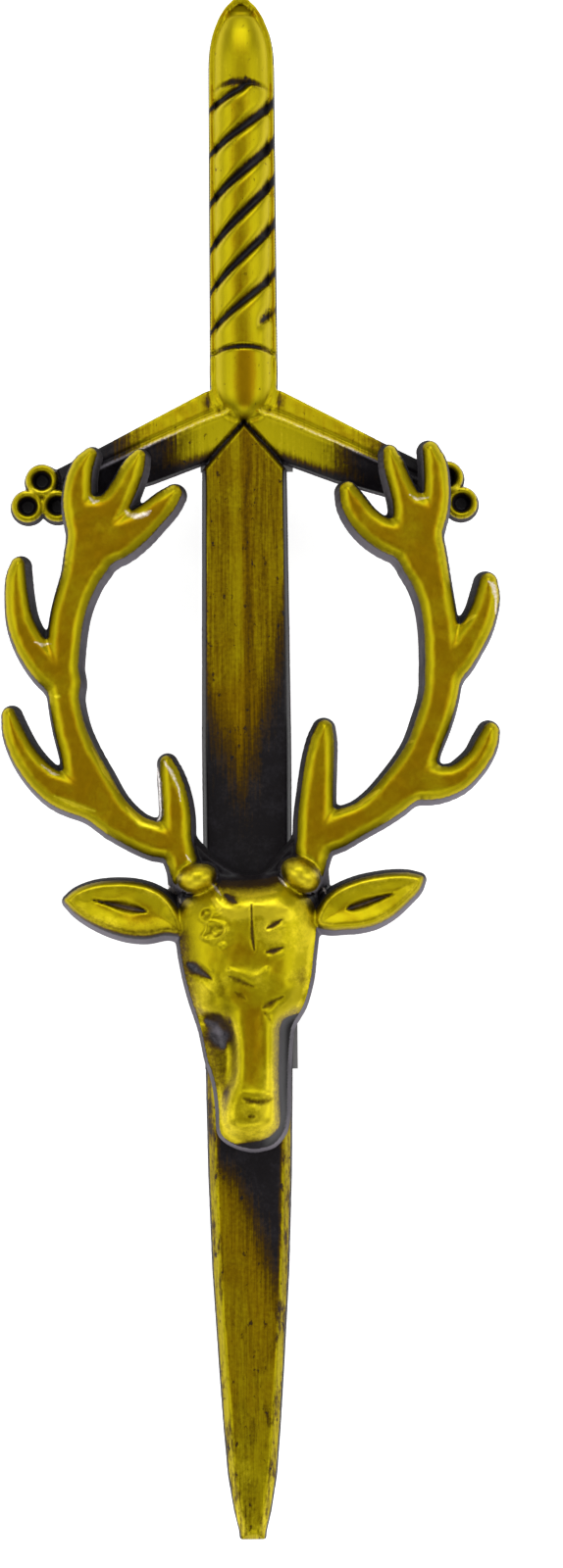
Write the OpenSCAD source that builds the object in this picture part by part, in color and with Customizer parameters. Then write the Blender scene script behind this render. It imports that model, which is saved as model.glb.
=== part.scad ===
// Kilt pin: a short sword with a stag's head on its blade, lying face up.
// +Y points to the pommel, +X to the right of the face and +Z out of the face.
// The back fitting stands on z = 0, and the sword's centre line is x = 0.

/* [Sword] */
// Length of the sword, from the pommel's top to the blade's tip
sword_len = 100; // [90:1:120]
// Greatest width of the blade
blade_w = 5.8; // [4.8:0.1:7]
// Width of the cut end of the blade
tip_w = 1.7; // [1:0.1:2.4]
// Thickness of the blade at its flats
blade_t = 2.1; // [1.6:0.1:2.8]
// Thickness of the blade at the foot of its bevels
edge_t = 1.5; // [1:0.1:1.6]
// Width of each bevel along the blade's edges
bevel_w = 0.6; // [0.3:0.1:1]
// Width of the groove along the blade
groove_w = 1.2; // [0.8:0.1:1.6]
// Depth of the groove along the blade
groove_depth = 0.25; // [0.1:0.05:0.5]
// Height of the pointed top of the blade over its shoulders
gable_h = 3.1; // [2:0.1:4]

/* [Grip] */
// Width of the grip
grip_w = 4.3; // [3.4:0.1:5.4]
// Height of the grip over the sword's back
grip_h = 3.3; // [2.4:0.1:4]
// Length of the domed pommel
pommel_len = 5.8; // [4:0.1:8]
// Length of the grooved part of the grip
grip_len = 17.3; // [13:0.1:20]
// Length of the plain sleeve below the grooves
sleeve_len = 4.5; // [3.5:0.1:6]
// Distance from one diagonal groove to the next
twist_pitch = 3; // [2:0.1:4]
// Rise of a groove from the left side of the grip to the right
twist_rise = 5.4; // [3:0.1:7]
// Depth of the diagonal grooves
twist_depth = 0.35; // [0.15:0.05:0.6]

/* [Guard] */
// Distance from the centre line to the middle of a three-ring end
guard_reach = 13.1; // [10:0.1:16]
// Drop of each arm from the centre line to its end
guard_drop = 5.4; // [4:0.1:8]
// Height of an arm from its upper edge to its lower edge at the blade
guard_h = 5; // [4:0.1:6]
// Thickness of an arm at its ridge, beside the grip
guard_t = 2.7; // [2.2:0.1:3.2]
// Radius of each ring at the ends of the guard
ring_r = 1.1; // [0.8:0.05:1.3]
// Radius of the pit in each ring
pit_r = 0.6; // [0.3:0.05:0.7]
// Thickness left under the pit in each ring
pit_floor = 0.9; // [0.4:0.1:1]
// Distance from the middle of a three-ring end to each ring
ring_spread = 1.1; // [0.9:0.05:1.4]
// Distance by which the guard's ends lie lower than the blade's flats
end_drop = 0.2; // [0.1:0.05:0.4]

/* [Antlers] */
// Distance from the centre line to the outermost tine
antler_reach = 16.05; // [13:0.05:20]
// Rise of the antlers over the crown of the head
antler_rise = 28.3; // [24:0.1:32]
// Distance from the sleeve's end down to the top of the antlers
antlers_below = 1.8; // [1.4:0.1:3]
// Width of the flat top of a beam
beam_w = 1.6; // [1.2:0.1:2.2]
// Height of the antlers and ears over the stag's flat back
antler_h = 3.2; // [2.4:0.1:4]

/* [Stag's head] */
// Length of the head from crown to chin
head_len = 16.8; // [14:0.2:20]
// Width of the head over the eyes
skull_w = 9.1; // [7.5:0.1:11]
// Width of the muzzle at its foot
muzzle_w = 4.6; // [3.8:0.1:5.6]
// Height of the forehead over the stag's flat back
face_h = 4.6; // [3.8:0.1:5.6]
// Distance from the centre line to the tip of an ear
ear_reach = 11.5; // [10:0.1:14]
// Half of an ear's greatest height
ear_half = 1.5; // [1.1:0.1:1.9]
// Radius of the knob at the foot of each antler
knob_r = 1.25; // [0.9:0.05:1.5]

/* [Casting] */
// Lean of the cast side walls, measured at the foot of an antler
draft = 0.5; // [0.2:0.05:0.8]
// Rounding of the cast upper edges
round_over = 0.45; // [0.2:0.05:0.7]
// Clearance between pieces that lie on each other
seat_gap = 0.1; // [0.05:0.05:0.3]

/* [Back fitting] */
// Height of the fitting, from the surface to the sword's back
fitting_h = 6; // [5.5:0.1:8]
// Distance between the middles of the hinge and the catch
pin_span = 38.8; // [32:0.2:44]
// Distance from the sleeve's end down to the middle of the hinge
hinge_below = 1.6; // [0:0.1:3]
// Width of the plates across the blade
plate_w = 6; // [4.8:0.1:8]
// Length of the plates along the blade
plate_len = 3.2; // [2.4:0.1:5]
// Thickness of the plates
plate_t = 0.7; // [0.5:0.1:1]
// Distance by which the plates sit to the right of the centre line
plate_off = 0.15; // [0:0.05:0.4]
// Diameter of the pin's stem
stem_d = 1.1; // [0.8:0.1:1.3]
// Length of the stem's point past the catch
point_len = 3; // [1.5:0.1:5]
// Width of the hinge and catch across the stem
lug_w = 4.6; // [3.6:0.1:4.8]
// Thickness of the sheet that the hinge and catch are bent from
sheet_t = 0.7; // [0.5:0.1:0.9]

/* [Hidden] */
brass = "darkgoldenrod";
// Heights along the sword, from the pommel down
top_y = sword_len/2;
grip_top = top_y - pommel_len;
sleeve_top = grip_top - grip_len;
sleeve_end = sleeve_top - sleeve_len;
shoulder_y = sleeve_end - gable_h;
blade_len = shoulder_y + top_y;
crown_y = sleeve_end - antlers_below - antler_rise;
hinge_y = sleeve_end - hinge_below;
catch_y = hinge_y - pin_span;
// Flat backs of the sword and of the stag over the surface
back_z = fitting_h + seat_gap;
stag_z = back_z + blade_t + seat_gap;
// Thickness of the guard's ends
end_t = blade_t - end_drop;
// A width too small to matter, for points and for cuts that run past a face
hair = 0.02;

// A closed solid through rings that all have as many points
module loft(rings) {
    n = len(rings[0]);
    last = len(rings) - 1;
    sides = [for (r = [0:last - 1]) for (i = [0:n - 1])
        [r*n + i, (r + 1)*n + i, (r + 1)*n + (i + 1)%n, r*n + (i + 1)%n]];
    near = [for (i = [0:n - 1]) i];
    far = [for (i = [n - 1:-1:0]) last*n + i];
    polyhedron([for (ring = rings) each ring], concat([near], sides, [far]), convexity=8);
}

// Pommel, grooved grip and sleeve: one rounded bar with a flat back.
// Columns: share of the pommel's length from its top, share of the grip's width
pommel_rows = [[0, 0.18], [0.06, 0.42], [0.15, 0.62], [0.27, 0.77], [0.45, 0.92], [0.68, 0.99], [1, 1]];
// Columns: share of the sleeve's length from its top, share of the grip's width
sleeve_rows = [[0, 1.02], [0.6, 1.02], [0.85, 0.8], [0.97, 0.4], [1, 0.16]];
// Sections along the grooved part, and corners round half of the bar
grip_steps = 44;
side_steps = 20;
// How full the bar's section is: 1 is half an ellipse, and less is squarer
fullness = 0.75;
function groove_at(y, turn) =
    let (phase = (grip_top - y + twist_rise*turn)/twist_pitch,
         off = abs(phase - floor(phase) - 0.5)*2)
    twist_depth*pow(max(0, 1 - off*1.6), 1.5);
function bar_ring(y, width, height, cut) =
    [for (i = [0:side_steps])
        let (turn = i/side_steps, a = 180*turn, dip = cut ? groove_at(y, 1 - turn) : 0)
        [(width/2 - dip*abs(cos(a)))*cos(a), y, back_z + (height - dip)*pow(sin(a), fullness)]];
module grip() {
    crest = grip_h/grip_w;
    loft(concat(
        [for (r = pommel_rows) let (w = grip_w*r[1])
            bar_ring(top_y - r[0]*pommel_len, w, w*crest, false)],
        [for (i = [1:grip_steps - 1])
            bar_ring(grip_top - i/grip_steps*grip_len, grip_w, grip_h, true)],
        [for (r = sleeve_rows) let (w = grip_w*r[1])
            bar_ring(sleeve_top - r[0]*sleeve_len, w, grip_h*pow(r[1], 0.3), false)]));
}

// The blade, whose pointed top lies over the guard.
// Columns: share of the blade's length from its shoulders, share of its width
blade_rows = [[0, 0.95], [0.1, 0.97], [0.26, 1], [0.57, 0.97], [0.66, 0.935], [0.75, 0.86],
    [0.845, 0.72], [0.9, 0.63], [0.94, 0.55], [0.973, 0.42], [0.992, 0.31], [1, tip_w/blade_w]];
// Share of the blade's length where the groove runs out
groove_end = 0.97;
// Width of the blade's pointed top
peak_w = 0.08;
function blade_ring(y, width, depth) =
    let (half = width/2, lean = min(draft/3, half/4), bevel = min(bevel_w, half/3),
         lip = min(groove_w/2, half/3), flat = half - lean - bevel,
         right = [[half, 0], [half - lean, edge_t], [flat, blade_t], [lip, blade_t],
            [lip/2, blade_t - depth]])
    concat([for (i = [0:len(right) - 1]) [right[i][0], y, back_z + right[i][1]]],
        [for (i = [len(right) - 1:-1:0]) [-right[i][0], y, back_z + right[i][1]]]);
module blade() {
    loft([for (ring = concat([[shoulder_y + gable_h, peak_w, 0]],
            [for (r = blade_rows) [shoulder_y - r[0]*blade_len, r[1]*blade_w,
                r[0] < groove_end ? groove_depth : 0]]))
        blade_ring(ring[0], ring[1], ring[2])]);
}

// One arm of the guard, from the centre line outwards.
// Columns: share of the reach; upper edge, ridge and lower edge over the arm's middle line, as
// shares of the guard's height; share of what the ridge rises over the guard's ends
arm_rows = [[0, 0.48, 0.08, -0.48, 1], [0.2, 0.46, 0.07, -0.47, 0.75],
    [0.45, 0.39, 0.05, -0.45, 0.15], [0.7, 0.33, 0.03, -0.36, 0], [0.93, 0.3, 0, -0.22, 0]];
// Share of the blade's edge thickness that the arm's edges have
arm_edge = 0.85;
// Share of the guard's height by which its middle stands over the sleeve's end, and the bow of
// the arms: 1 is straight
arm_lift = 0.1;
arm_bow = 1.1;
function arm_y(share) = sleeve_end + arm_lift*guard_h - guard_drop*pow(share, arm_bow);
function arm_ring(r) =
    let (x = r[0]*guard_reach, y = arm_y(r[0]), edge = edge_t*arm_edge)
    [[x, y + r[1]*guard_h + draft/2, back_z], [x, y + r[1]*guard_h, back_z + edge],
     [x, y + r[2]*guard_h, back_z + end_t + (guard_t - end_t)*r[4]],
     [x, y + r[3]*guard_h, back_z + edge], [x, y + r[3]*guard_h - draft/2, back_z]];
// Direction of the first of the three rings, in degrees from the arm's outward line
first_ring = 89;
module at_rings(spread, z) {
    for (turn = [0:2])
        rotate(first_ring + 120*turn) translate([spread, 0, z]) children();
}
module ring_end() {
    translate([guard_reach, arm_y(1), back_z])
        difference() {
            union() {
                hull() at_rings(ring_spread*0.6, 0) cylinder(h=end_t*0.8, r=ring_r*0.9, $fn=24);
                at_rings(ring_spread, 0)
                    cylinder(h=end_t, r1=ring_r + draft/2, r2=ring_r, $fn=28);
            }
            at_rings(ring_spread, pit_floor)
                cylinder(h=end_t - pit_floor + hair, r1=pit_r*0.8, r2=pit_r, $fn=20);
        }
}
module arm() {
    for (i = [0:len(arm_rows) - 2])
        hull() loft([arm_ring(arm_rows[i]), arm_ring(arm_rows[i + 1])]);
    ring_end();
}
module sword() {
    color(brass)
        union() {
            grip();
            blade();
            arm();
            mirror([1, 0, 0]) arm();
        }
}

// Corners of a stub
stud_sides = 12;
// A drafted stub with a rounded upper edge; a chain of them makes a tine, a beam or an ear.
module stub(x, y, half, height) {
    foot = half + draft;
    bend = min(round_over, height/3);
    top = max(half - bend*0.6, half*0.4);
    translate([x, y, stag_z]) {
        cylinder(h=height - bend, r1=foot, r2=half, $fn=stud_sides);
        cylinder(h=height, r1=min(foot, top + hair), r2=top, $fn=stud_sides);
    }
}
// Rows are [x, y, half of the top's width, height], each as a share of the sizes in "unit"
module limb(rows, unit) {
    for (i = [0:len(rows) - 2])
        hull()
            for (r = [rows[i], rows[i + 1]])
                stub(r[0]*unit[0], crown_y + r[1]*unit[1], r[2]*unit[2], r[3]*unit[3]);
}
antler_unit = [antler_reach, antler_rise, beam_w, antler_h];
ear_unit = [ear_reach, head_len, ear_half, antler_h];

// Antlers. Columns: share of the antlers' reach from the centre line, share of their rise over
// the crown, half of the top's width as a share of the beam's width, share of the height
left_antler = [
    // beam
    [[-0.245, 0.02, 0.42, 1], [-0.285, 0.085, 0.46, 1], [-0.365, 0.102, 0.55, 1],
     [-0.45, 0.123, 0.53, 1], [-0.55, 0.168, 0.66, 1], [-0.625, 0.233, 0.74, 1],
     [-0.672, 0.305, 0.55, 1], [-0.703, 0.36, 0.48, 1], [-0.722, 0.42, 0.46, 1],
     [-0.727, 0.48, 0.48, 1], [-0.722, 0.54, 0.5, 1], [-0.71, 0.6, 0.52, 1],
     [-0.688, 0.65, 0.54, 1], [-0.652, 0.705, 0.62, 1], [-0.618, 0.755, 0.82, 1],
     [-0.6, 0.8, 0.82, 1], [-0.605, 0.83, 0.78, 1]],
    // web from the foot of the beam to the ear
    [[-0.31, 0.072, 0.5, 1], [-0.328, 0.03, 0.43, 0.8], [-0.325, -0.03, 0.52, 0.8]],
    // first upper tine
    [[-0.62, 0.81, 0.7, 1], [-0.66, 0.86, 0.48, 1], [-0.662, 0.905, 0.4, 1],
     [-0.645, 0.95, 0.3, 0.97], [-0.612, 0.98, 0.12, 0.9]],
    // second upper tine
    [[-0.59, 0.815, 0.7, 1], [-0.515, 0.868, 0.46, 1], [-0.475, 0.907, 0.38, 1],
     [-0.442, 0.948, 0.3, 0.97], [-0.418, 0.975, 0.12, 0.9]],
    // third upper tine, towards the blade
    [[-0.6, 0.775, 0.76, 1], [-0.52, 0.786, 0.72, 1], [-0.44, 0.809, 0.55, 1],
     [-0.375, 0.838, 0.42, 1], [-0.32, 0.867, 0.34, 0.97], [-0.28, 0.89, 0.18, 0.9]],
    // outer tine
    [[-0.722, 0.46, 0.5, 1], [-0.775, 0.485, 0.52, 1], [-0.825, 0.52, 0.5, 1],
     [-0.868, 0.56, 0.44, 1], [-0.897, 0.605, 0.38, 1], [-0.908, 0.655, 0.32, 1],
     [-0.91, 0.7, 0.26, 0.97], [-0.902, 0.73, 0.14, 0.9]],
    // lower outer tine
    [[-0.64, 0.215, 0.72, 1], [-0.72, 0.212, 0.6, 1], [-0.79, 0.233, 0.47, 1],
     [-0.85, 0.268, 0.4, 1], [-0.895, 0.308, 0.34, 1], [-0.926, 0.35, 0.27, 0.97],
     [-0.942, 0.388, 0.14, 0.9]],
    // brow tine
    [[-0.28, 0.085, 0.44, 1], [-0.28, 0.15, 0.44, 1], [-0.288, 0.2, 0.38, 1],
     [-0.304, 0.245, 0.27, 0.97], [-0.318, 0.277, 0.12, 0.9]]];
right_antler = [
    // beam
    [[0.245, 0.03, 0.46, 1], [0.28, 0.095, 0.52, 1], [0.36, 0.122, 0.6, 1],
     [0.45, 0.145, 0.5, 1], [0.53, 0.174, 0.56, 1], [0.605, 0.212, 0.66, 1],
     [0.668, 0.26, 0.64, 1], [0.706, 0.31, 0.52, 1], [0.74, 0.36, 0.54, 1],
     [0.768, 0.41, 0.54, 1], [0.782, 0.46, 0.56, 1], [0.782, 0.52, 0.56, 1],
     [0.776, 0.58, 0.54, 1], [0.76, 0.64, 0.54, 1], [0.735, 0.695, 0.64, 1],
     [0.702, 0.75, 0.82, 1], [0.685, 0.795, 0.8, 1], [0.69, 0.83, 0.74, 1]],
    // first upper tine
    [[0.71, 0.81, 0.66, 1], [0.757, 0.85, 0.4, 1], [0.765, 0.9, 0.36, 1],
     [0.76, 0.95, 0.32, 0.97], [0.742, 0.985, 0.18, 0.9]],
    // second upper tine
    [[0.68, 0.82, 0.7, 1], [0.648, 0.865, 0.44, 1], [0.62, 0.908, 0.32, 1],
     [0.597, 0.948, 0.26, 0.97], [0.581, 0.98, 0.12, 0.9]],
    // third upper tine, towards the blade
    [[0.68, 0.78, 0.76, 1], [0.6, 0.783, 0.58, 1], [0.532, 0.8, 0.48, 1],
     [0.476, 0.828, 0.42, 1], [0.436, 0.862, 0.36, 0.97], [0.412, 0.893, 0.2, 0.9]],
    // outer tine
    [[0.785, 0.475, 0.5, 1], [0.835, 0.505, 0.54, 1], [0.88, 0.542, 0.5, 1],
     [0.92, 0.578, 0.45, 1], [0.948, 0.615, 0.38, 1], [0.963, 0.65, 0.33, 0.97],
     [0.967, 0.683, 0.2, 0.9]],
    // lower outer tine
    [[0.68, 0.235, 0.72, 1], [0.76, 0.226, 0.53, 1], [0.838, 0.236, 0.4, 1],
     [0.892, 0.261, 0.34, 1], [0.93, 0.287, 0.3, 1], [0.956, 0.317, 0.28, 0.97],
     [0.972, 0.343, 0.18, 0.9]],
    // brow tine
    [[0.262, 0.09, 0.5, 1], [0.272, 0.15, 0.56, 1], [0.28, 0.21, 0.5, 1],
     [0.29, 0.27, 0.44, 1], [0.302, 0.32, 0.34, 0.97], [0.311, 0.352, 0.18, 0.9]]];
module antlers() {
    for (side = [left_antler, right_antler])
        for (tine = side)
            limb(tine, antler_unit);
}

// Ears. Columns: share of the ears' reach, share of the head's length over the crown, half of
// the top's width as a share of the ear's greatest half, share of the height
left_ear = [[-0.975, -0.068, 0.14, 0.9], [-0.94, -0.072, 0.36, 0.95], [-0.86, -0.08, 0.78, 1],
    [-0.77, -0.09, 1.02, 1], [-0.68, -0.098, 1.1, 1], [-0.6, -0.106, 1.1, 1],
    [-0.52, -0.115, 1.0, 1], [-0.445, -0.138, 0.92, 1], [-0.3, -0.15, 0.88, 1]];
right_ear = [[0.935, -0.004, 0.14, 0.9], [0.895, -0.018, 0.34, 0.95], [0.83, -0.04, 0.66, 1],
    [0.76, -0.06, 0.88, 1], [0.68, -0.078, 1.0, 1], [0.6, -0.09, 1.0, 1],
    [0.52, -0.1, 0.9, 1], [0.45, -0.112, 0.8, 1], [0.3, -0.12, 0.78, 1]];
// The slit in each ear. Columns: as above, with the slit's half width and no height
left_slit = [[-0.85, -0.062, 0.06], [-0.74, -0.073, 0.17], [-0.62, -0.095, 0.2],
    [-0.56, -0.105, 0.1]];
right_slit = [[0.57, -0.095, 0.1], [0.65, -0.075, 0.18], [0.8, -0.038, 0.06]];
// Share of the antlers' height that a slit cuts away
slit_share = 0.3;
module slit(rows) {
    for (i = [0:len(rows) - 2])
        hull()
            for (r = [rows[i], rows[i + 1]])
                translate([r[0]*ear_reach, crown_y + r[1]*head_len, stag_z + antler_h])
                    cylinder(h=2*slit_share*antler_h, r1=0.5*r[2]*ear_half, r2=1.6*r[2]*ear_half,
                        center=true, $fn=8);
}

// The head in sections from crown to chin.
// Columns: share of the head's length, half of its width at the foot and at the face as shares
// of half of the skull's width, share of the forehead's height
skull_rows = [[-0.02, 0.6, 0.5, 0.55], [0.01, 0.75, 0.62, 0.82], [0.05, 0.9, 0.78, 0.95],
    [0.12, 0.98, 0.86, 1], [0.24, 0.99, 0.88, 1], [0.33, 0.96, 0.86, 0.98], [0.4, 0.92, 0.82, 0.96],
    [0.46, 0.86, 0.75, 0.9], [0.51, 0.8, 0.66, 0.84], [0.545, 0.74, 0.55, 0.76],
    [0.57, 0.66, 0.4, 0.64]];
// Columns: as above, with the widths as shares of half of the muzzle's width
muzzle_rows = [[0.3, 1.1, 0.6, 0.94], [0.42, 1.3, 0.72, 0.945], [0.52, 1.36, 0.74, 0.9],
    [0.6, 1.26, 0.74, 0.87], [0.68, 1.12, 0.76, 0.86], [0.75, 1.02, 0.8, 0.86],
    [0.82, 0.98, 0.86, 0.86], [0.9, 0.97, 0.86, 0.8], [0.95, 0.9, 0.78, 0.7],
    [0.985, 0.72, 0.5, 0.52], [1, 0.5, 0.3, 0.34]];
face_steps = 14;
// Shares by which the face falls, and by which its side leans out, along its edges
face_fall = 0.38;
face_lean = 0.55;
function face_ring(r, half) =
    let (y = crown_y - r[0]*head_len, foot = r[1]*half, face = r[2]*half, high = r[3]*face_h)
    concat([[foot, y, stag_z]],
        [for (i = [0:face_steps])
            let (u = 1 - 2*i/face_steps, fall = pow(abs(u), 4))
            [u*face + sign(u)*(foot - face)*fall*face_lean, y, stag_z + high*(1 - face_fall*fall)]],
        [[-foot, y, stag_z]]);
// Shares of the antlers' reach and rise and of the forehead's height where the knobs stand
knob_at = [0.215, 0.02, 0.7];
// Turn of the knobs in degrees, and how long, wide and high they are as shares of their radius
knob_turn = 38;
knob_form = [1.1, 0.85, 0.9];
module knobs() {
    for (side = [-1, 1])
        translate([side*knob_at[0]*antler_reach, crown_y + knob_at[1]*antler_rise, stag_z])
            rotate(side*knob_turn)
                hull() {
                    translate([0, 0, knob_at[2]*face_h]) scale(knob_form) sphere(r=knob_r, $fn=20);
                    scale([knob_form[0], knob_form[1], 1])
                        cylinder(h=hair, r=knob_r + draft, $fn=20);
                }
}
// The bridge that joins the antlers' feet over the crown, with its hollow upper edge.
// Columns: as the antlers'
bridge_rows = [[-0.24, 0.04, 0.5, 0.7], [-0.16, 0.005, 0.5, 0.72], [-0.08, -0.012, 0.5, 0.74],
    [0, -0.018, 0.5, 0.74], [0.08, -0.012, 0.5, 0.74], [0.16, 0.01, 0.5, 0.72],
    [0.24, 0.05, 0.5, 0.7]];
// Eyes, cheek hollows, nostrils and the marks on the forehead.
// Columns: share of half of the skull's width, share of the head's length, length and width of
// the hollow as shares of the skull's width, its turn in degrees, depth as a share of the face
hollows = [[-0.72, 0.335, 0.2, 0.07, -38, 0.12], [0.72, 0.335, 0.2, 0.07, 38, 0.1],
    [-0.47, 0.57, 0.08, 0.1, 0, 0.2], [0.52, 0.57, 0.08, 0.1, 0, 0.2],
    [-0.16, 0.06, 0.07, 0.05, 0, 0.07], [0.09, 0.845, 0.17, 0.03, -8, 0.08]];
// Height of the face there, looked up in the sections above
face_rows = [for (r = skull_rows) if (r[0] < 0.5) [r[0], r[3]]];
foot_rows = [for (r = muzzle_rows) if (r[0] > 0.5) [r[0], r[3]]];
function face_z(h) =
    let (u = abs(h[0])/lookup(h[1], [for (r = skull_rows) [r[0], r[2]]]))
    h[1] < 0.5 ? lookup(h[1], face_rows)*(1 - face_fall*pow(min(1, u), 4))
    : abs(h[0]) < 0.3 ? lookup(h[1], foot_rows) : lookup(h[1], foot_rows)*0.66;
module hollow(h) {
    depth = h[5]*face_h;
    translate([h[0]*skull_w/2, crown_y - h[1]*head_len, stag_z + face_h*face_z(h)])
        rotate(h[4])
            scale([h[2]*skull_w/depth/2, h[3]*skull_w/depth/2, 1]) sphere(r=depth, $fn=14);
}
module head() {
    difference() {
        union() {
            loft([for (r = skull_rows) face_ring(r, skull_w/2)]);
            loft([for (r = muzzle_rows) face_ring(r, muzzle_w/2)]);
        }
        for (h = hollows) hollow(h);
    }
}
module stag_head() {
    color(brass)
        union() {
            antlers();
            difference() {
                union() {
                    limb(left_ear, ear_unit);
                    limb(right_ear, ear_unit);
                }
                slit(left_slit);
                slit(right_slit);
            }
            limb(bridge_rows, antler_unit);
            head();
            knobs();
        }
}

// The brooch fitting on the back: one plain piece whose stem runs from hinge to catch.
// How deep the stem is sunk into the sheet under it
stem_bite = 0.1;
stem_z = sheet_t - stem_bite + stem_d/2;
// A block across the stem, from one height to another
module lug(y, x0, x1, z0, z1) {
    translate([plate_off + x0, y - plate_len/2, z0])
        cube([x1 - x0, plate_len, z1 - z0]);
}
module brooch_pin() {
    color("silver")
        union() {
            // the plates that are fixed to the sword's back
            for (y = [hinge_y, catch_y])
                lug(y, -plate_w/2, plate_w/2, fitting_h - plate_t, fitting_h);
            // the hinge, closed round the head of the stem
            lug(hinge_y, -lug_w/2, lug_w/2, 0, fitting_h - plate_t);
            // the catch: a wall down from the plate, a floor under the stem and an upturned lip
            lug(catch_y, lug_w/2 - sheet_t, lug_w/2, 0, fitting_h - plate_t);
            lug(catch_y, -lug_w/2, lug_w/2, 0, sheet_t);
            lug(catch_y, -lug_w/2, sheet_t - lug_w/2, 0, 2*sheet_t + stem_d);
            // the stem and its point
            translate([plate_off, hinge_y, stem_z])
                rotate([90, 0, 0]) cylinder(h=pin_span, d=stem_d, $fn=32);
            translate([plate_off, catch_y, stem_z])
                rotate([90, 0, 0])
                    cylinder(h=plate_len/2 + point_len, d1=stem_d, d2=stem_d*0.25, $fn=32);
        }
}
sword();
stag_head();
brooch_pin();
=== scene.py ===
import math

import bmesh
import bpy
import numpy as np
from mathutils import Matrix, Vector


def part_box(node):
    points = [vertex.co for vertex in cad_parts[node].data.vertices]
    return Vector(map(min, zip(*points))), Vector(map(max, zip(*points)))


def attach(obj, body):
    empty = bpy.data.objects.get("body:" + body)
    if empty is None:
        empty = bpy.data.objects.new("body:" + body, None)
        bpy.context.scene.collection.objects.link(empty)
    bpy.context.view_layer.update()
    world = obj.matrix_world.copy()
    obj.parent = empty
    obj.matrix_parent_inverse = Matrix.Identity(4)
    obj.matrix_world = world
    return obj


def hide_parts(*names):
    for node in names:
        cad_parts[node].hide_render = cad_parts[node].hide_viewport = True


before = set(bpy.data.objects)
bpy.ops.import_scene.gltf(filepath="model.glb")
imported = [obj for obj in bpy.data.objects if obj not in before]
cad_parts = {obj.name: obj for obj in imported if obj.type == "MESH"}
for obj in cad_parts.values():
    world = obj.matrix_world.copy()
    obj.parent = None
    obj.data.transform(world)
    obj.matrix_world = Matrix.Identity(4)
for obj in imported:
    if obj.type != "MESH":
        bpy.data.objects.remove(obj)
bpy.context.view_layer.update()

# The sword: one flat-backed brass casting with a roped grip, a ridged guard that ends in three
# rings on each side, and a long blade whose pointed top lies over the guard. It was brushed,
# blackened and rubbed back by hand, so the black stays in the low parts and across the blade.
MM = 0.001
# Sizes in millimetres, the same as in the source of the CAD
sword_low, sword_high = [np.array(corner)/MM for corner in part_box("sword")]
sword_back = sword_low[2]
top_y = sword_high[1]
sword_len = top_y - sword_low[1]
grip_w, grip_h = 4.3, 3.3
pommel_len, grip_len, sleeve_len = 5.8, 17.3, 4.5
grip_top = top_y - pommel_len
sleeve_top = grip_top - grip_len
sleeve_end = sleeve_top - sleeve_len
blade_w, tip_w, blade_t, blade_edge = 5.8, 1.7, 2.1, 1.5
half_blade, blade_crown, blade_groove, groove_side = 2.6, 0.1, 0.04, 0.8
bevel_w, bevel_more = 0.35, 0.3
gable_h = 3.1
shoulder_y = sleeve_end - gable_h
blade_len = shoulder_y + top_y
guard_reach, guard_drop, guard_h, guard_bow = 13.1, 5.4, 5, 1.1
ridge_h, guard_end_h, guard_edge = 2.75, 1.9, 1.3
ring_r, pit_r, ring_spread, pit_floor = 1.05, 0.58, 1.1, 0.9
ring_foot, web_r, web_h, ring_round, pit_lip = 0.12, 0.9, 1.35, 0.9, 0.25


def smooth(rows, steps=5):
    """A smooth line through the rows, with so many points for each gap."""
    p = np.asarray(rows, float)
    p = np.vstack([2*p[0] - p[1], p, 2*p[-1] - p[-2]])
    t = np.linspace(0, 1, steps, endpoint=False)[:, None]
    pieces = [0.5*(2*b + (c - a)*t + (2*a - 5*b + 4*c - d)*t**2 + (3*b - a - 3*c + d)*t**3)
              for a, b, c, d in zip(p, p[1:], p[2:], p[3:])]
    return np.vstack(pieces + [p[-2:-1]])


def to_line(x, y, ax, ay, bx, by):
    """Distance to the straight line from a to b, and how far along it the nearest spot lies."""
    dx, dy = bx - ax, by - ay
    along = np.clip(((x - ax)*dx + (y - ay)*dy)/max(dx*dx + dy*dy, 1e-12), 0, 1)
    return np.hypot(x - ax - along*dx, y - ay - along*dy), along


def loop_distance(x, y, points):
    """Distance to a closed line, negative inside it."""
    inside = np.zeros(x.shape, bool)
    best = np.full(x.shape, np.inf)
    for (ax, ay), (bx, by) in zip(points, np.roll(points, -1, axis=0)):
        best = np.minimum(best, to_line(x, y, ax, ay, bx, by)[0])
        if by != ay:
            inside ^= ((ay > y) != (by > y)) & (x < (bx - ax)*(y - ay)/(by - ay) + ax)
    return np.where(inside, -best, best)


def least(a, b, soft):
    """The lesser of two, with the corner between them rounded."""
    share = np.clip(0.5 + 0.5*(b - a)/soft, 0, 1)
    return b + (a - b)*share - soft*share*(1 - share)


def fade(value, start, end):
    """0 at start and 1 at end, with a soft turn at both."""
    t = np.clip((value - start)/(end - start), 0, 1)
    return t*t*(3 - 2*t)


def bump(distance, width):
    """1 in the middle of a line and almost 0 at twice the width from it."""
    return np.exp(-(distance/width)**2)


def spot(x, y, px, py, wide, tall):
    """1 in the middle of an oval spot and almost 0 at twice its half sizes."""
    return bump(np.hypot((x - px)/wide, (y - py)/tall), 1)


def unevenness(x, y, size, seed):
    """Low waves in many directions, as hand finishing leaves; between about -1 and 1."""
    draw = np.random.default_rng(seed)
    total = np.zeros(x.shape)
    for turn, offset, scale in draw.random((9, 3)):
        a, k = turn*2*math.pi, 2*math.pi/(size*(0.6 + 0.9*scale))
        total += np.sin(k*(x*math.cos(a) + y*math.sin(a)) + offset*2*math.pi)
    return total/4


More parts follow.
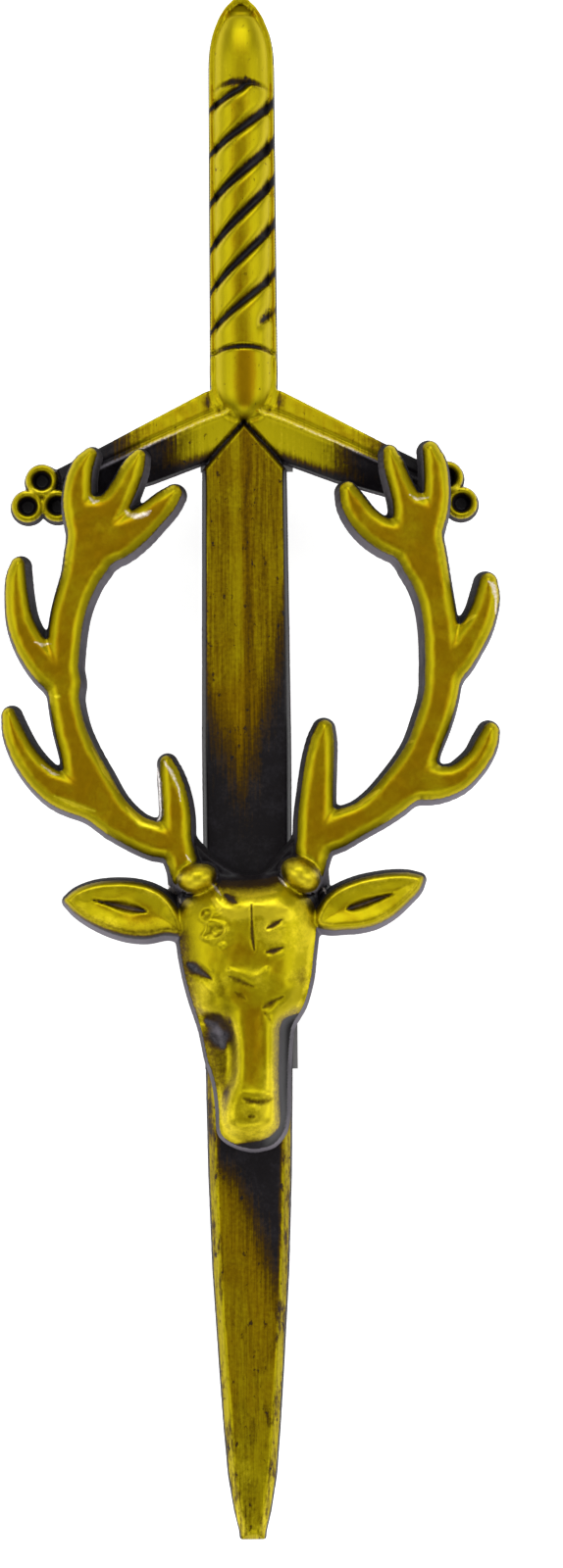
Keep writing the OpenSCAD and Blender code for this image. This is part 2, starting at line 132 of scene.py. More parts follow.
# Outlines of the sword's parts at its flat back, in millimetres.
# Columns: share of the pommel's length from its top, share of the grip's width
pommel_rows = [(0, 0.12), (0.025, 0.24), (0.06, 0.34), (0.12, 0.5), (0.22, 0.67), (0.33, 0.805),
               (0.44, 0.9), (0.65, 0.985), (1, 1)]
# Columns: share of the sleeve's length from its top, share of the grip's width
sleeve_rows = [(0, 1.02), (0.3, 1.03), (0.6, 1.0), (0.78, 0.87), (0.9, 0.62), (0.97, 0.36), (1, 0.12)]
# Columns: share of the blade's length from its shoulders, share of its width
blade_rows = [(0, 0.95), (0.1, 0.97), (0.26, 1), (0.57, 0.97), (0.66, 0.935), (0.75, 0.86),
              (0.845, 0.72), (0.9, 0.63), (0.94, 0.55), (0.973, 0.42), (0.992, 0.31),
              (1, tip_w/blade_w)]
# Columns: share of the guard's reach; upper edge, ridge and lower edge over the arm's middle
# line, as shares of the guard's height; share of the ridge's rise over the guard's ends
arm_rows = [(0, 0.48, 0.08, -0.48, 1), (0.2, 0.46, 0.07, -0.47, 0.75), (0.45, 0.39, 0.05, -0.45, 0.3),
            (0.7, 0.33, 0.03, -0.36, 0.1), (0.93, 0.3, 0, -0.22, 0)]


def both_sides(rows):
    """A closed outline from rows of half width and height, mirrored in the centre line."""
    rows = np.asarray(rows, float)
    return np.vstack([rows, (rows*[-1, 1])[::-1]])


bar = [(w*grip_w/2, top_y - s*pommel_len) for s, w in smooth(pommel_rows)]
bar += [(w*grip_w/2, sleeve_top - s*sleeve_len) for s, w in smooth(sleeve_rows)]
bar_outline = both_sides(bar)
blade_outline = both_sides([(0.04, shoulder_y + gable_h)]
                           + [(w*blade_w/2, shoulder_y - s*blade_len) for s, w in blade_rows])


def arm_y(share):
    """Height of an arm's middle line at a share of its reach."""
    return sleeve_end + 0.1*guard_h - guard_drop*share**guard_bow


arm = np.array([(s*guard_reach, arm_y(s), up, ridge, low, rise) for s, up, ridge, low, rise in arm_rows])
arm_x, arm_middle, arm_upper, arm_ridge, arm_lower, arm_rise = arm.T
guard_outline = np.vstack([np.column_stack([arm_x, arm_middle + arm_upper*guard_h]),
                           np.column_stack([arm_x, arm_middle + arm_lower*guard_h])[::-1]])
ring_middle = np.array([guard_reach, arm_y(1)])
ring_places = [ring_middle + ring_spread*np.array([math.cos(a), math.sin(a)])
               for a in np.radians([89, 209, 329])]


def near_rings(x, y):
    """Distance to the middle of the nearest of a side's three rings, on either side."""
    return np.min([np.hypot(np.abs(x) - px, y - py) for px, py in ring_places], axis=0)


def sword_edge(x, y):
    """Distance to the sword's outline at its back, negative inside."""
    side = np.abs(x)
    rings = near_rings(x, y) - ring_r - ring_foot
    web = np.hypot(side - ring_middle[0], y - ring_middle[1]) - web_r
    guard = least(loop_distance(side, y, guard_outline), least(rings, web, 0.2), 0.3)
    bar_and_blade = [loop_distance(side, y, line) for line in (bar_outline, blade_outline)]
    return least(guard, np.minimum(*bar_and_blade), 0.12)


# The grooves of the grip. Columns: how far the left and right ends of a groove lie under the
# pommel, as shares of the grooved length; width and depth in mm; where it starts and ends
grooves = [(0.106, -0.075, 0.17, 0.5, 0, 0.62), (0.278, 0.055, 0.18, 0.55, 0, 1),
           (0.465, 0.201, 0.19, 0.6, 0, 1), (0.64, 0.34, 0.18, 0.6, 0, 1),
           (0.798, 0.505, 0.18, 0.55, 0, 1), (0.944, 0.695, 0.18, 0.5, 0, 1),
           (1.03, 0.84, 0.17, 0.42, 0.7, 1)]
strand_fall, strand_swell, groove_share = 1.1, 0.17, 0.9
cap_y, cap_line, cap_step = top_y - 1.25, 0.12, 0.1


def grip_grooves(x, y):
    """How deep the rope's grooves are cut, and how far each strand swells below its groove."""
    across = np.clip(2*x/grip_w, -0.999, 0.999)
    turn = 0.5 + 0.25*across + 0.5*np.arcsin(across)/math.pi
    cut, swell = np.zeros(x.shape), np.zeros(x.shape)
    for left, right, width, depth, start, end in grooves:
        middle = (left + (right - left)*turn)*grip_len
        shown = fade(turn, start - 0.05, start + 0.05) if start > 0 else 1
        shown = shown*(1 - fade(turn, end - 0.12, end + 0.06)) if end < 1 else shown
        # a groove opens towards its right end, and the strand's crest follows 1.9 widths below it
        wide = width*(0.85 + 0.55*turn)
        crest = wide*1.9
        off = grip_top - y - middle
        cut = np.maximum(cut, depth*shown*bump(off, wide*2.1))
        rise = fade(off, wide*0.6, crest)*np.exp(-np.clip(off - crest, 0, 9)/strand_fall)
        swell = np.maximum(swell, shown*rise)
    return cut, swell


def bar_top(x, y):
    """Height of the rounded bar of pommel, grip and sleeve over the sword's back."""
    rows = np.array([(h, w) for w, h in bar])[::-1]
    half = np.interp(y, rows[:, 0], rows[:, 1])
    across = np.clip(np.abs(x)/np.maximum(half, 0.05), 0, 1)
    round_back = (1 - across**2.2)**0.42
    width = np.clip(half/(grip_w/2), 0, 1)
    crest = np.where(y < sleeve_top, grip_h*width**0.3 + 0.05, grip_h*width**0.75)
    on_grip = fade(y, sleeve_top - 0.02, sleeve_top + 0.15)
    on_grip = on_grip*(1 - fade(y, grip_top - 0.1, grip_top + 0.1))
    cut, swell = grip_grooves(x, y)
    # the pommel's cap lies a little lower, behind a fine cut line
    cap = cap_line*bump(y - cap_y, 0.11) + cap_step*fade(y, cap_y + 0.05, cap_y + 0.35)
    return crest*round_back - on_grip*(cut*groove_share - strand_swell*swell) - cap


# Depths of the cut lines, and how far the ridge's raised line stands up
blade_gap, bar_gap, pommel_line, sleeve_line = 0.18, 0.14, 0.25, 0.3
ridge_line, guard_groove, hammer_marks = 0.12, 0.16, 0.012


def sleeve_lines(x, y):
    """Distance to the arched lines under the pommel and over the sleeve."""
    arch = 0.55*(1 - (2*x/grip_w)**2)
    return y - (grip_top - 0.5 + arch), y - (sleeve_top - 0.25 + arch*0.85)


def arm_line(x, share):
    """Where a line of the arm runs at x; it lies over the middle line by shares of the height."""
    return np.interp(np.abs(x), arm_x, arm_middle) + guard_h*np.interp(np.abs(x), arm_x, share)


def guard_top(x, y):
    """Height of the guard's two facets, the raised line where they meet and the groove over it."""
    upper, ridge, lower = [arm_line(x, share) for share in (arm_upper, arm_ridge, arm_lower)]
    crest = guard_end_h + (ridge_h - guard_end_h)*np.interp(np.abs(x), arm_x, arm_rise)
    over = np.clip((y - ridge)/(upper - ridge), 0, 1.2)
    under = np.clip((ridge - y)/(ridge - lower), 0, 1.2)
    off = (y - ridge)*0.91
    facet = np.where(y > ridge, crest - 0.1 - 0.25*(crest - guard_edge)*over,
                     crest - (crest - guard_edge)*under**1.1)
    hammered = hammer_marks*unevenness(x, y*0.35, 0.5, 12)*fade(off, 0.35, 0.6)
    lines = ridge_line*bump(off + 0.02, 0.15) - guard_groove*bump(off - 0.33, 0.11)
    return facet + lines + hammered


def blade_top(x, y):
    """Height of the blade's flats, its bevels and the shallow groove along its middle."""
    inside = -loop_distance(np.abs(x), y, blade_outline)
    # the bevels are wider below the head than above it
    bevel = bevel_w + bevel_more*fade(y, -12, -18)
    flat = blade_edge + (blade_t - blade_edge)*fade(inside, 0, bevel)
    flat += blade_crown*(1 - np.clip(np.abs(x)/half_blade, 0, 1)**2)
    run = fade(y, -top_y + 0.03*sword_len, -top_y + 0.08*sword_len)
    groove = fade(groove_side - np.abs(x + 0.1), 0, 0.7)*run
    return np.where(inside > 0, flat - blade_groove*groove, -1), inside


def ring_top(x, y):
    """Height of the three rings with their pits and of the web between them."""
    away = near_rings(x, y)
    off = np.clip(np.abs(away - (ring_r + pit_r)/2)/0.36, 0, 1)
    band = guard_end_h - ring_round*off**3
    lip = (guard_end_h - pit_lip - pit_floor)*fade(away, pit_r - 0.16, pit_r)
    return np.where(away < pit_r, pit_floor + lip, np.maximum(band, web_h)), away


def sword_top(x, y):
    """Height of the sword's face over its flat back."""
    blade, inside = blade_top(x, y)
    rings, away = ring_top(x, y)
    at_rings = fade(away, ring_r + 0.25, ring_r + 0.05)
    high = guard_top(x, y)*(1 - at_rings) + rings*at_rings
    # the blade's top and the bar lie in the guard with a thin gap round them
    high -= blade_gap*bump(inside + 0.04, 0.09)*(y > shoulder_y - 1)
    high = np.where(inside > -0.02, np.maximum(blade, high*(inside < 0.03)), high)
    in_bar = -loop_distance(np.abs(x), y, bar_outline)
    bar_high = np.where(in_bar > -0.1, bar_top(x, y), -1)
    high = np.where(in_bar > 0, np.maximum(high*(in_bar < 0.4), bar_high), high)
    high -= bar_gap*bump(in_bar + 0.06, 0.12)*(y < sleeve_end + 3)
    under_pommel, over_sleeve = sleeve_lines(x, y)
    high -= pommel_line*bump(under_pommel, 0.13)*(in_bar > 0)*fade(np.abs(x), 2.0, 1.1)
    return high - sleeve_line*bump(over_sleeve, 0.13)*(in_bar > 0)


def cut_at(level, xy, edge, tris, grain):
    """Splits the triangles that a level of the distance crosses, so that edges run along it.
    Points nearer to the level than the grain are moved onto it."""
    edge = np.where(np.abs(edge - level) < grain, level, edge)
    side = np.sign(edge - level)
    sides = np.sort(np.concatenate([tris[:, [0, 1]], tris[:, [1, 2]], tris[:, [2, 0]]]), axis=1)
    crossed = side[sides[:, 0]]*side[sides[:, 1]] < 0
    pairs, place = np.unique(sides[crossed], axis=0, return_inverse=True)
    along = ((level - edge[pairs[:, 0]])/(edge[pairs[:, 1]] - edge[pairs[:, 0]]))[:, None]
    mid = np.full(len(sides), -1)
    mid[crossed] = len(xy) + place.ravel()
    mid = mid.reshape(3, -1).T
    xy = np.vstack([xy, xy[pairs[:, 0]] + along*(xy[pairs[:, 1]] - xy[pairs[:, 0]])])
    edge = np.concatenate([edge, np.full(len(pairs), level)])
    cuts = (mid >= 0).sum(1)
    made = [tris[cuts == 0]]
    one, rows = tris[cuts == 1], mid[cuts == 1]
    k, n = np.argmax(rows >= 0, axis=1), np.arange(len(one))
    a, b, c, m = one[n, k], one[n, (k + 1) % 3], one[n, (k + 2) % 3], rows[n, k]
    made += [np.column_stack([a, m, c]), np.column_stack([m, b, c])]
    two, rows = tris[cuts == 2], mid[cuts == 2]
    k, n = np.argmin(rows, axis=1), np.arange(len(two))
    a, b, c = two[n, (k + 2) % 3], two[n, k], two[n, (k + 1) % 3]
    m, w = rows[n, (k + 2) % 3], rows[n, (k + 1) % 3]
    made += [np.column_stack([a, m, w]), np.column_stack([m, b, c]), np.column_stack([m, c, w])]
    return xy, edge, np.vstack(made)


def casting(name, edge_of, height_of, columns, heights, levels, back):
    """A closed, flat-backed relief. edge_of gives the distance to its outline and height_of the
    height of its face; columns are the first and last x and the step, heights the rows' y."""
    first, last, step = columns
    count = int((last - first)/step) + 2
    i, j = np.meshgrid(np.arange(count), np.arange(len(heights)))
    xy = np.column_stack([(first + step*(i + 0.5*(j % 2))).ravel(), np.asarray(heights)[j.ravel()]])
    a = (j[:-1, :-1]*count + i[:-1, :-1]).ravel()
    odd = (j[:-1, :-1] % 2).ravel().astype(bool)
    b, c, d = a + 1, a + count, a + count + 1
    tris = np.vstack([np.column_stack([a, b, np.where(odd, d, c)]),
                      np.column_stack([np.where(odd, a, b), d, c])])
    edge = edge_of(xy[:, 0], xy[:, 1])
    tris = tris[edge[tris].min(1) < 0]
    for level in levels:
        xy, edge, tris = cut_at(-level, xy, edge, tris, 0.11*step)
    tris = tris[(edge[tris].max(1) <= 0) & (edge[tris].min(1) < 0)]
    used, tris = np.unique(tris, return_inverse=True)
    tris = tris.reshape(-1, 3)
    xy, edge = xy[used], edge[used]
    high = np.where(edge >= 0, 0, np.maximum(height_of(xy[:, 0], xy[:, 1], edge), 0.02))
    points = np.column_stack([xy, back + high])*MM
    mesh = bpy.data.meshes.new(name)
    mesh.from_pydata(points.tolist(), [], tris.tolist())
    work = bmesh.new()
    work.from_mesh(mesh)
    work.faces.ensure_lookup_table()
    rim = [e for e in work.edges if e.is_boundary]
    for face in work.faces:
        face.smooth = True
    # the flat back: one face in each closed line of rim edges
    follow = {e.link_loops[0].vert: e.link_loops[0].link_loop_next.vert for e in rim}
    while follow:
        start, end = next(iter(follow.items()))
        ring = [start]
        while end is not start:
            ring.append(end)
            end = follow.pop(end)
        follow.pop(start, None)
        work.faces.new(ring[::-1]).smooth = False
    for e in rim:
        e.smooth = False
    work.to_mesh(mesh)
    work.free()
    piece = bpy.data.objects.new(name, mesh)
    bpy.context.scene.collection.objects.link(piece)
    return piece


def keep_values(piece, **fields):
    """Stores a value for each point of the piece's mesh, worked out from x, y and z."""
    co = np.empty(len(piece.data.vertices)*3)
    piece.data.vertices.foreach_get("co", co)
    x, y, z = co.reshape(-1, 3).T/MM
    for name, rule in fields.items():
        layer = piece.data.attributes.new(name, "FLOAT", "POINT")
        layer.data.foreach_set("value", np.asarray(rule(x, y, z), np.float32))


def softened(field, cell, reach):
    """A field on a grid with all that is finer than the reach smoothed away."""
    fx, fy = np.fft.rfftfreq(field.shape[1], cell), np.fft.fftfreq(field.shape[0], cell)
    soft = np.exp(-2*(math.pi*reach)**2*(fx[None, :]**2 + fy[:, None]**2))
    return np.fft.irfft2(np.fft.rfft2(field)*soft, field.shape)


def read_from(xs, ys, field):
    """A function that reads a field on a grid at any x and y."""
    def at(px, py, pz=None):
        i = np.clip((px - xs[0])/(xs[1] - xs[0]), 0, len(xs) - 1.001)
        j = np.clip((py - ys[0])/(ys[1] - ys[0]), 0, len(ys) - 1.001)
        i0, j0 = i.astype(int), j.astype(int)
        u, v = i - i0, j - j0
        return ((field[j0, i0]*(1 - u) + field[j0, i0 + 1]*u)*(1 - v)
                + (field[j0 + 1, i0]*(1 - u) + field[j0 + 1, i0 + 1]*u)*v)
    return at


def hollowness(edge_of, height_of, low, high, cell, reach):
    """How far each spot lies below the mean of what is round it; a function of x and y."""
    xs, ys = np.arange(low[0] - 2, high[0] + 2, cell), np.arange(low[1] - 2, high[1] + 2, cell)
    x, y = np.meshgrid(xs, ys)
    edge = edge_of(x, y)
    z = np.where(edge < 0, height_of(x, y, edge), 0)
    return read_from(xs, ys, softened(z, cell, reach) - z)


def quarter(share):
    """Rises from 0 to 1 as the shoulder of a round edge does."""
    return np.sqrt(1 - (1 - np.clip(share, 0, 1))**2)


sword_draft, wall_share, edge_round = 0.1, 0.97, 0.15


def sword_high_at(x, y, edge):
    """Height of the sword over its back: leaning side walls, a round upper edge and the face."""
    depth = -edge
    wall = wall_share*depth/sword_draft
    shoulder = wall_share + (1 - wall_share)*quarter((depth - sword_draft)/edge_round)
    return sword_top(x, y)*np.where(depth < sword_draft, wall, shoulder)


# Rows of points lie closer on the hilt, from 12 mm over the middle, than on the plain blade
hilt_y, blade_step, step = 12, 0.24, 0.1
rows_y = np.concatenate([np.arange(-top_y - 0.3, hilt_y, blade_step),
                         np.arange(hilt_y, top_y + 0.3, step)])
sword_levels = (0, 0.1, 0.15, 0.25)
sword = casting("sword_casting", sword_edge, sword_high_at, (-16, 16, step), rows_y,
                sword_levels, sword_back)
sword_hollow = hollowness(sword_edge, sword_high_at, (-16, -50), (16, 50), 0.12, 0.28)


class Shade:
    """A shader socket that takes part in sums; each operator on it adds one Math node."""

    def __init__(self, socket):
        self.socket = socket

    def node(self, kind, settings=None, inputs=None, output=0):
        """Adds a node: its settings first, then the values or links of its sockets."""
        tree = self.socket.id_data
        made = tree.nodes.new(kind)
        for key, value in (settings or {}).items():
            setattr(made, key, value)
        for key, value in (inputs or {}).items():
            if isinstance(value, Shade):
                tree.links.new(value.socket, made.inputs[key])
            else:
                made.inputs[key].default_value = value
        return Shade(made.outputs[output])

    def maths(self, operation, *values):
        return self.node("ShaderNodeMath", {"operation": operation}, dict(enumerate(values)))

    def __add__(self, other):
        return self.maths("ADD", self, other)

    __radd__ = __add__

    def __mul__(self, other):
        return self.maths("MULTIPLY", self, other)

    __rmul__ = __mul__

    def __sub__(self, other):
        return self.maths("SUBTRACT", self, other)

    def __rsub__(self, other):
        return self.maths("SUBTRACT", other, self)

    def between(self, low, high):
        """0 below low, 1 above high and a soft turn from one to the other."""
        return self.node("ShaderNodeMapRange", {"interpolation_type": "SMOOTHSTEP"},
                         {"Value": self, "From Min": low, "From Max": high})

    def colours(self, dark, light):
        """A colour from dark to light, where each is a colour or a link."""
        a, b = [c if isinstance(c, Shade) else (*c, 1) for c in (dark, light)]
        return self.node("ShaderNodeMix", {"data_type": "RGBA"}, {0: self, 6: a, 7: b}, 2)

    def attribute(self, name):
        """A value that the mesh keeps for each of its points."""
        return self.node("ShaderNodeAttribute", {"attribute_name": name}, output=2)

    def noise(self, place, scale, detail=3, roughness=0.55):
        """Cloudy noise between 0 and 1; the scale is in waves to the millimetre."""
        return self.node("ShaderNodeTexNoise", {}, {"Vector": place, "Scale": scale,
                                                    "Detail": detail, "Roughness": roughness})

    def stretched(self, x, y, z):
        """The place of a point in millimetres, stretched by a share in each direction."""
        return self.node("ShaderNodeVectorMath", {"operation": "MULTIPLY"},
                         {0: self, 1: (x/MM, y/MM, z/MM)})


def finish_of(name, metallic=1.0):
    """A new material with its shader, and the place and normal of the surface to start from."""
    material = bpy.data.materials.new(name)
    material.use_nodes = True
    shader = next(n for n in material.node_tree.nodes if n.type == "BSDF_PRINCIPLED")
    shader.inputs["Metallic"].default_value = metallic
    geometry = material.node_tree.nodes.new("ShaderNodeNewGeometry")
    return material, shader, Shade(geometry.outputs["Position"]), Shade(geometry.outputs["Normal"])


def wire(shader, **links):
    """Links values to the shader's sockets; an underscore stands for the space in a name."""
    for name, value in links.items():
        shader.id_data.links.new(value.socket, shader.inputs[name.replace("_", " ")])


# Colours of the rubbed brass: stained brown, then a painted dim and a painted lit reflection, a
# painted highlight and a painted white glint; of the black that stayed on it; and painted grey
# reflections for the walls and the black
brass_brown, brass_dim = (0.09, 0.045, 0.003), (0.35, 0.195, 0.002)
brass_lit, brass_highlight = (0.48, 0.39, 0.005), (0.78, 0.63, 0.022)
bare_metal = (0.95, 0.84, 0.8)
black_low, black_grey = (0.006, 0.004, 0.006), (0.018, 0.015, 0.02)
grey_sheen, dark_wall_sheen = (0.2, 0.18, 0.215), (0.05, 0.042, 0.05)


def antique(tone, brass_share, wall, steep, loss, place, normal, shader):
    """Brass that was blackened and rubbed back: bright on what stands up, black in what lies low.
    The brass is painted as a reflection, darker where it is level and yellow where it slopes, with a
    painted highlight where the tone is high. The attribute "grey" marks a painted grey sheen on the
    black, and a second attribute marks painted white glints. Where the surface faces up by less than
    steep it is a wall, and steep shoulders lose brass by the loss."""
    up = normal.node("ShaderNodeSeparateXYZ", {}, {0: normal}, 2)
    along = normal.node("ShaderNodeSeparateXYZ", {}, {0: normal}, 1)
    patch = place.noise(place.stretched(1, 1, 1), 0.6, 4)
    fine = place.noise(place.stretched(1, 1, 1), 4.0, 4, 0.7)
    grey, bare = place.attribute("grey"), place.attribute("bare")
    brass_share = brass_share - (1 - up).between(0.22, 0.62)*loss
    # the brass: a painted reflection, yellow on slopes and darker where level, a painted highlight
    # where the tone is high, and brown where its share is low
    slope = (1 - up)*7 + (patch - 0.5)*0.9 + (fine - 0.5)*0.8 + tone
    brass = slope.between(0.0, 1.35).colours(brass_dim, brass_lit)
    # painted highlight: the clearest yellow where the tone is high
    clear = (tone + (patch - 0.5)*0.5 + (fine - 0.5)*0.9).between(0.95, 1.6)
    brass = clear.colours(brass, brass_highlight)
    brass = (brass_share + (fine - 0.5)*0.4).between(0.35, 0.95).colours(brass_brown, brass)
    # the black: deep, or with a painted grey sheen on the face; on steep walls a painted reflection,
    # the wall's colour where they face the blade's tip and black where they face the pommel
    face = up.between(steep, steep*2.1)
    # painted reflection: walls facing the blade's tip lighter, walls facing the pommel black
    wall_reflection = (along*0.55 + patch*0.5 + 0.1).between(-0.2, 0.75)
    black = (patch + (fine - 0.5)*0.8).between(0.4, 0.8).colours(black_low, black_grey)
    # the mask of the painted grey sheen on the black
    worn = (grey + (fine - 0.5)*0.5).between(0.2, 0.9)
    low = face.colours(wall_reflection.colours(wall, black_low), worn.colours(black, grey_sheen))
    # what shows: black, brass over it, and painted white glints over both
    shown = (brass_share*face + (fine - 0.5)*0.5).between(0.1, 0.6)
    # the mask of the painted white glints
    bright = (bare + (fine - 0.5)*0.8).between(0.34, 0.86)
    colour = bright.colours(shown.colours(low, brass), bare_metal)
    rough = (fine*0.16 + patch*0.12 + 0.28)*face + (1 - face)*(1 - bright)*0.95
    metal = shown.maths("MAXIMUM", shown, bright)
    wire(shader, Base_Color=colour, Roughness=rough, Metallic=metal)
    shader.inputs["Specular IOR Level"].default_value = 0.2
    return fine


# Where the black was rubbed off the sword: all of the hilt but its grooves, the inner part of
# the guard, and the blade down to the antlers and again from a slanted line below the head.
# The guard's two facets turn from black to brass between these distances from the middle, and
# the bevels between these heights: start and end on the pin's left, then on its right
upper_fade = (10.2, 4.8), (11.0, 6.3)
lower_fade = (7.0, 1.9), (8.7, 3.8)
bevel_fade = (-15, -21), (-12, -17)
ring_crest = 0.82


def by_side(x, value, left, right):
    """A fade of the value that differs on the pin's left and right."""
    return np.where(x < 0, fade(value, *left), fade(value, *right))


def blade_half(y):
    """Half of the blade's width at a height, up to its point over the guard."""
    rows = np.array([(shoulder_y - s*blade_len, w*blade_w/2) for s, w in blade_rows])[::-1]
    half = np.interp(y, rows[:, 0], rows[:, 1])
    return np.where(y > shoulder_y, half*np.clip((shoulder_y + gable_h - y)/gable_h, 0, 1), half)


def above_ridge(x, y):
    """Height over the line where the guard's two facets meet."""
    return y - arm_line(x, arm_ridge)


def guard_rubbed(x, y):
    """How much brass shows on the guard; the black stayed in its corner at the sleeve."""
    side, over_ridge = np.abs(x), above_ridge(x, y)
    upper, lower = by_side(x, side, *upper_fade), by_side(x, side, *lower_fade)
    lower = lower*fade(over_ridge, -3.1 + 0.1*side, -1.5)
    guard = lower + (upper - lower)*fade(over_ridge, -0.1, 0.12)
    return guard*(1 - 0.6*spot(side, y, 2.35, sleeve_end + 1.2, 0.35, 0.7))


def blade_rubbed(x, y):
    """How much brass shows on the blade."""
    side, inside = np.abs(x), blade_half(y) - np.abs(x)
    # the black creeps up at the blade's sides, most of all at the right; one stripe stays bright
    far = side/half_blade
    first = 1.5 + np.where(x < 0, 4.5*far**2, 11.5*far**1.5)
    last = -5 + np.where(x < 0, 6*far**1.2, 9*far**0.8)
    stripes = 0.7 + 0.12*bump(x + 0.5, 0.4) - 0.1*bump(x - 0.15, 0.3)
    above = fade(y, last - 3, first + 3.5)*stripes
    # below the chin a dark wedge narrows towards the right edge, and both bevels are rubbed bright
    wedge = x + 1.6 + (y + 24.4)*0.36
    below = np.maximum(fade(wedge, 1.6, -1.5), fade(y, -30, -40))*fade(y, -23.5, -28)
    bevel = 0.72*fade(-inside, -1.0, -0.5)*by_side(x, y, *bevel_fade)
    below = np.maximum(below*(0.78 + 0.08*fade(y, -36, -44)), bevel)
    at_top = fade(y, shoulder_y - 0.5, shoulder_y + 0.3)
    rim = fade(inside, 0.1 - 0.1*at_top, 0.45 - 0.2*at_top)
    return above*rim + below*fade(inside, 0, 0.15)


def hilt_ink(x, y):
    """How much black stayed in the arched lines and the grip's grooves."""
    under_pommel, over_sleeve = sleeve_lines(x, y)
    middle = fade(np.abs(x), 1.9, 0.6)
    under = bump(under_pommel - 0.05*middle, 0.12 + 0.13*middle)
    ink = np.maximum((0.15 + 0.6*middle)*under, (0.35 + 0.4*middle)*bump(over_sleeve, 0.16))
    on_grip = (y > sleeve_top) & (y < grip_top)
    return np.maximum(ink, np.where(on_grip, 0.9*np.clip(grip_grooves(x, y)[0]/0.5, 0, 1)**2.6, 0))


def sword_rubbed(x, y, z):
    """How much brass shows on the whole sword."""
    side, inside = np.abs(x), blade_half(y) - np.abs(x)
    in_bar = -loop_distance(side, y, bar_outline)
    guard = np.where(in_bar > -0.02, 1 - hilt_ink(x, y), guard_rubbed(x, y))
    on_blade = (inside > -0.05) & (y < shoulder_y + gable_h)
    share = np.where(on_blade & (in_bar < 0), blade_rubbed(x, y), guard)
    share = share - 0.55*bump(inside + 0.02, 0.1)*(y > shoulder_y - 0.2)*(in_bar < 0)
    rings = 0.9*fade(np.abs(near_rings(x, y) - ring_crest), 0.36, 0.16)
    return np.clip(np.where(side > guard_reach - 2.3, np.maximum(share, rings), share), 0, 1)


# How yellow the brass is: brown bands run down the blade, and the blade is clearer near its tip.
# It also holds painted light: a dim reflection as a brown stripe down the sleeve, shade towards
# the grip's sides, and a highlight along the guard's ridge
hilt_tone, pommel_tone, sleeve_tone, facet_tone = 0.65, 0.85, 0.7, 0.95


def sword_tone(x, y, z):
    side = np.abs(x)
    tone = 0.5 + 0.15*bump(x + 0.5, 0.4) - 0.4*bump(x - 0.15, 0.35)*fade(y, -20, -18)
    tone = tone - 0.65*fade(y, 8, 0)*fade(y, -20, -10) - 0.25*spot(x, y, 0.3, -31, 1.5, 5)
    bevel = fade(side - blade_half(y), -0.8, -0.45)
    tip = fade(y, -20, -24)*(0.1*bevel + 0.45*fade(y, -38, -47))
    tone = np.where(y < shoulder_y + gable_h, tone + tip, hilt_tone)
    tone = np.where(y > grip_top, pommel_tone - 0.9*bump(y - cap_y - 0.1, 0.22), tone)
    on_grip = (y > sleeve_top) & (y < grip_top)
    # painted shade: the grip browner towards its sides
    tone = np.where(on_grip, tone - 0.5*fade(side, 1.2, 2.1), tone)
    on_sleeve = (y < sleeve_top) & (y > sleeve_end) & (side < 2.3)
    # painted dim reflection: a brown stripe down the sleeve
    tone = np.where(on_sleeve, sleeve_tone - 0.9*bump(x - 0.25, 0.75), tone)
    over_ridge = above_ridge(x, y)
    # painted highlight: a yellow line along the guard's ridge
    facets = facet_tone - 0.25*fade(over_ridge, 0.2, 0.5) + 0.9*bump(over_ridge - 0.04, 0.16)
    on_guard = (side > blade_half(y)) & (side > 1) & (y < sleeve_end + 2) & (y > 0)
    return np.where(on_guard, facets, tone)


# The guard's crest: a painted white glint near the blade and a painted grey sheen farther out
def guard_crest(x, y):
    away = (np.abs(x) < guard_reach - 2.5) & (y < sleeve_end + 1) & (y > ring_middle[1])
    on_guard = away & (np.abs(x) > np.maximum(blade_half(y), 0.9))
    return bump(above_ridge(x, y) - 0.03, 0.17)*on_guard


# painted white glint along the guard's crest, fading out towards the rings
def sword_bare(x, y, z):
    side = np.abs(x)
    return guard_crest(x, y)*(0.48 + 0.12*fade(side, 3, 5))*fade(side, 9, 7)


# painted grey sheen on the black: along the guard's crest, and fainter on the blade behind the head
def sword_grey(x, y, z):
    on_blade = fade(y, -18, -10)*fade(y, -2, -10)*(np.abs(x) < 3)
    return 0.8*guard_crest(x, y) + 0.25*on_blade


# How far each spot lies below what is round it, with the guard's steps beside the blade left out
def seen_hollow(x, y, z):
    beside_blade = fade(y, shoulder_y - 0.6, shoulder_y)*(y < sleeve_end + 0.3)
    return sword_hollow(x, y)*(1 - 0.85*beside_blade*fade(np.abs(x), 3.3, 3.0))


# Where the rubbed brass is mottled with black: the bevels under the head and the blade's tip
def sword_worn(x, y, z):
    bevel = fade(np.abs(x) - blade_half(y), -0.95, -0.55)
    tip = fade(y, -34, -44)*(0.2 + 0.2*fade(x, -0.5, 1.5))
    return np.maximum(0.35*bevel*fade(y, -14, -18), tip)


keep_values(sword, rubbed=sword_rubbed, tone=sword_tone, bare=sword_bare, grey=sword_grey,
            hollow=seen_hollow, worn=sword_worn)
material, shader, place, normal = finish_of("rubbed_brass_sword")
hollow = place.attribute("hollow")
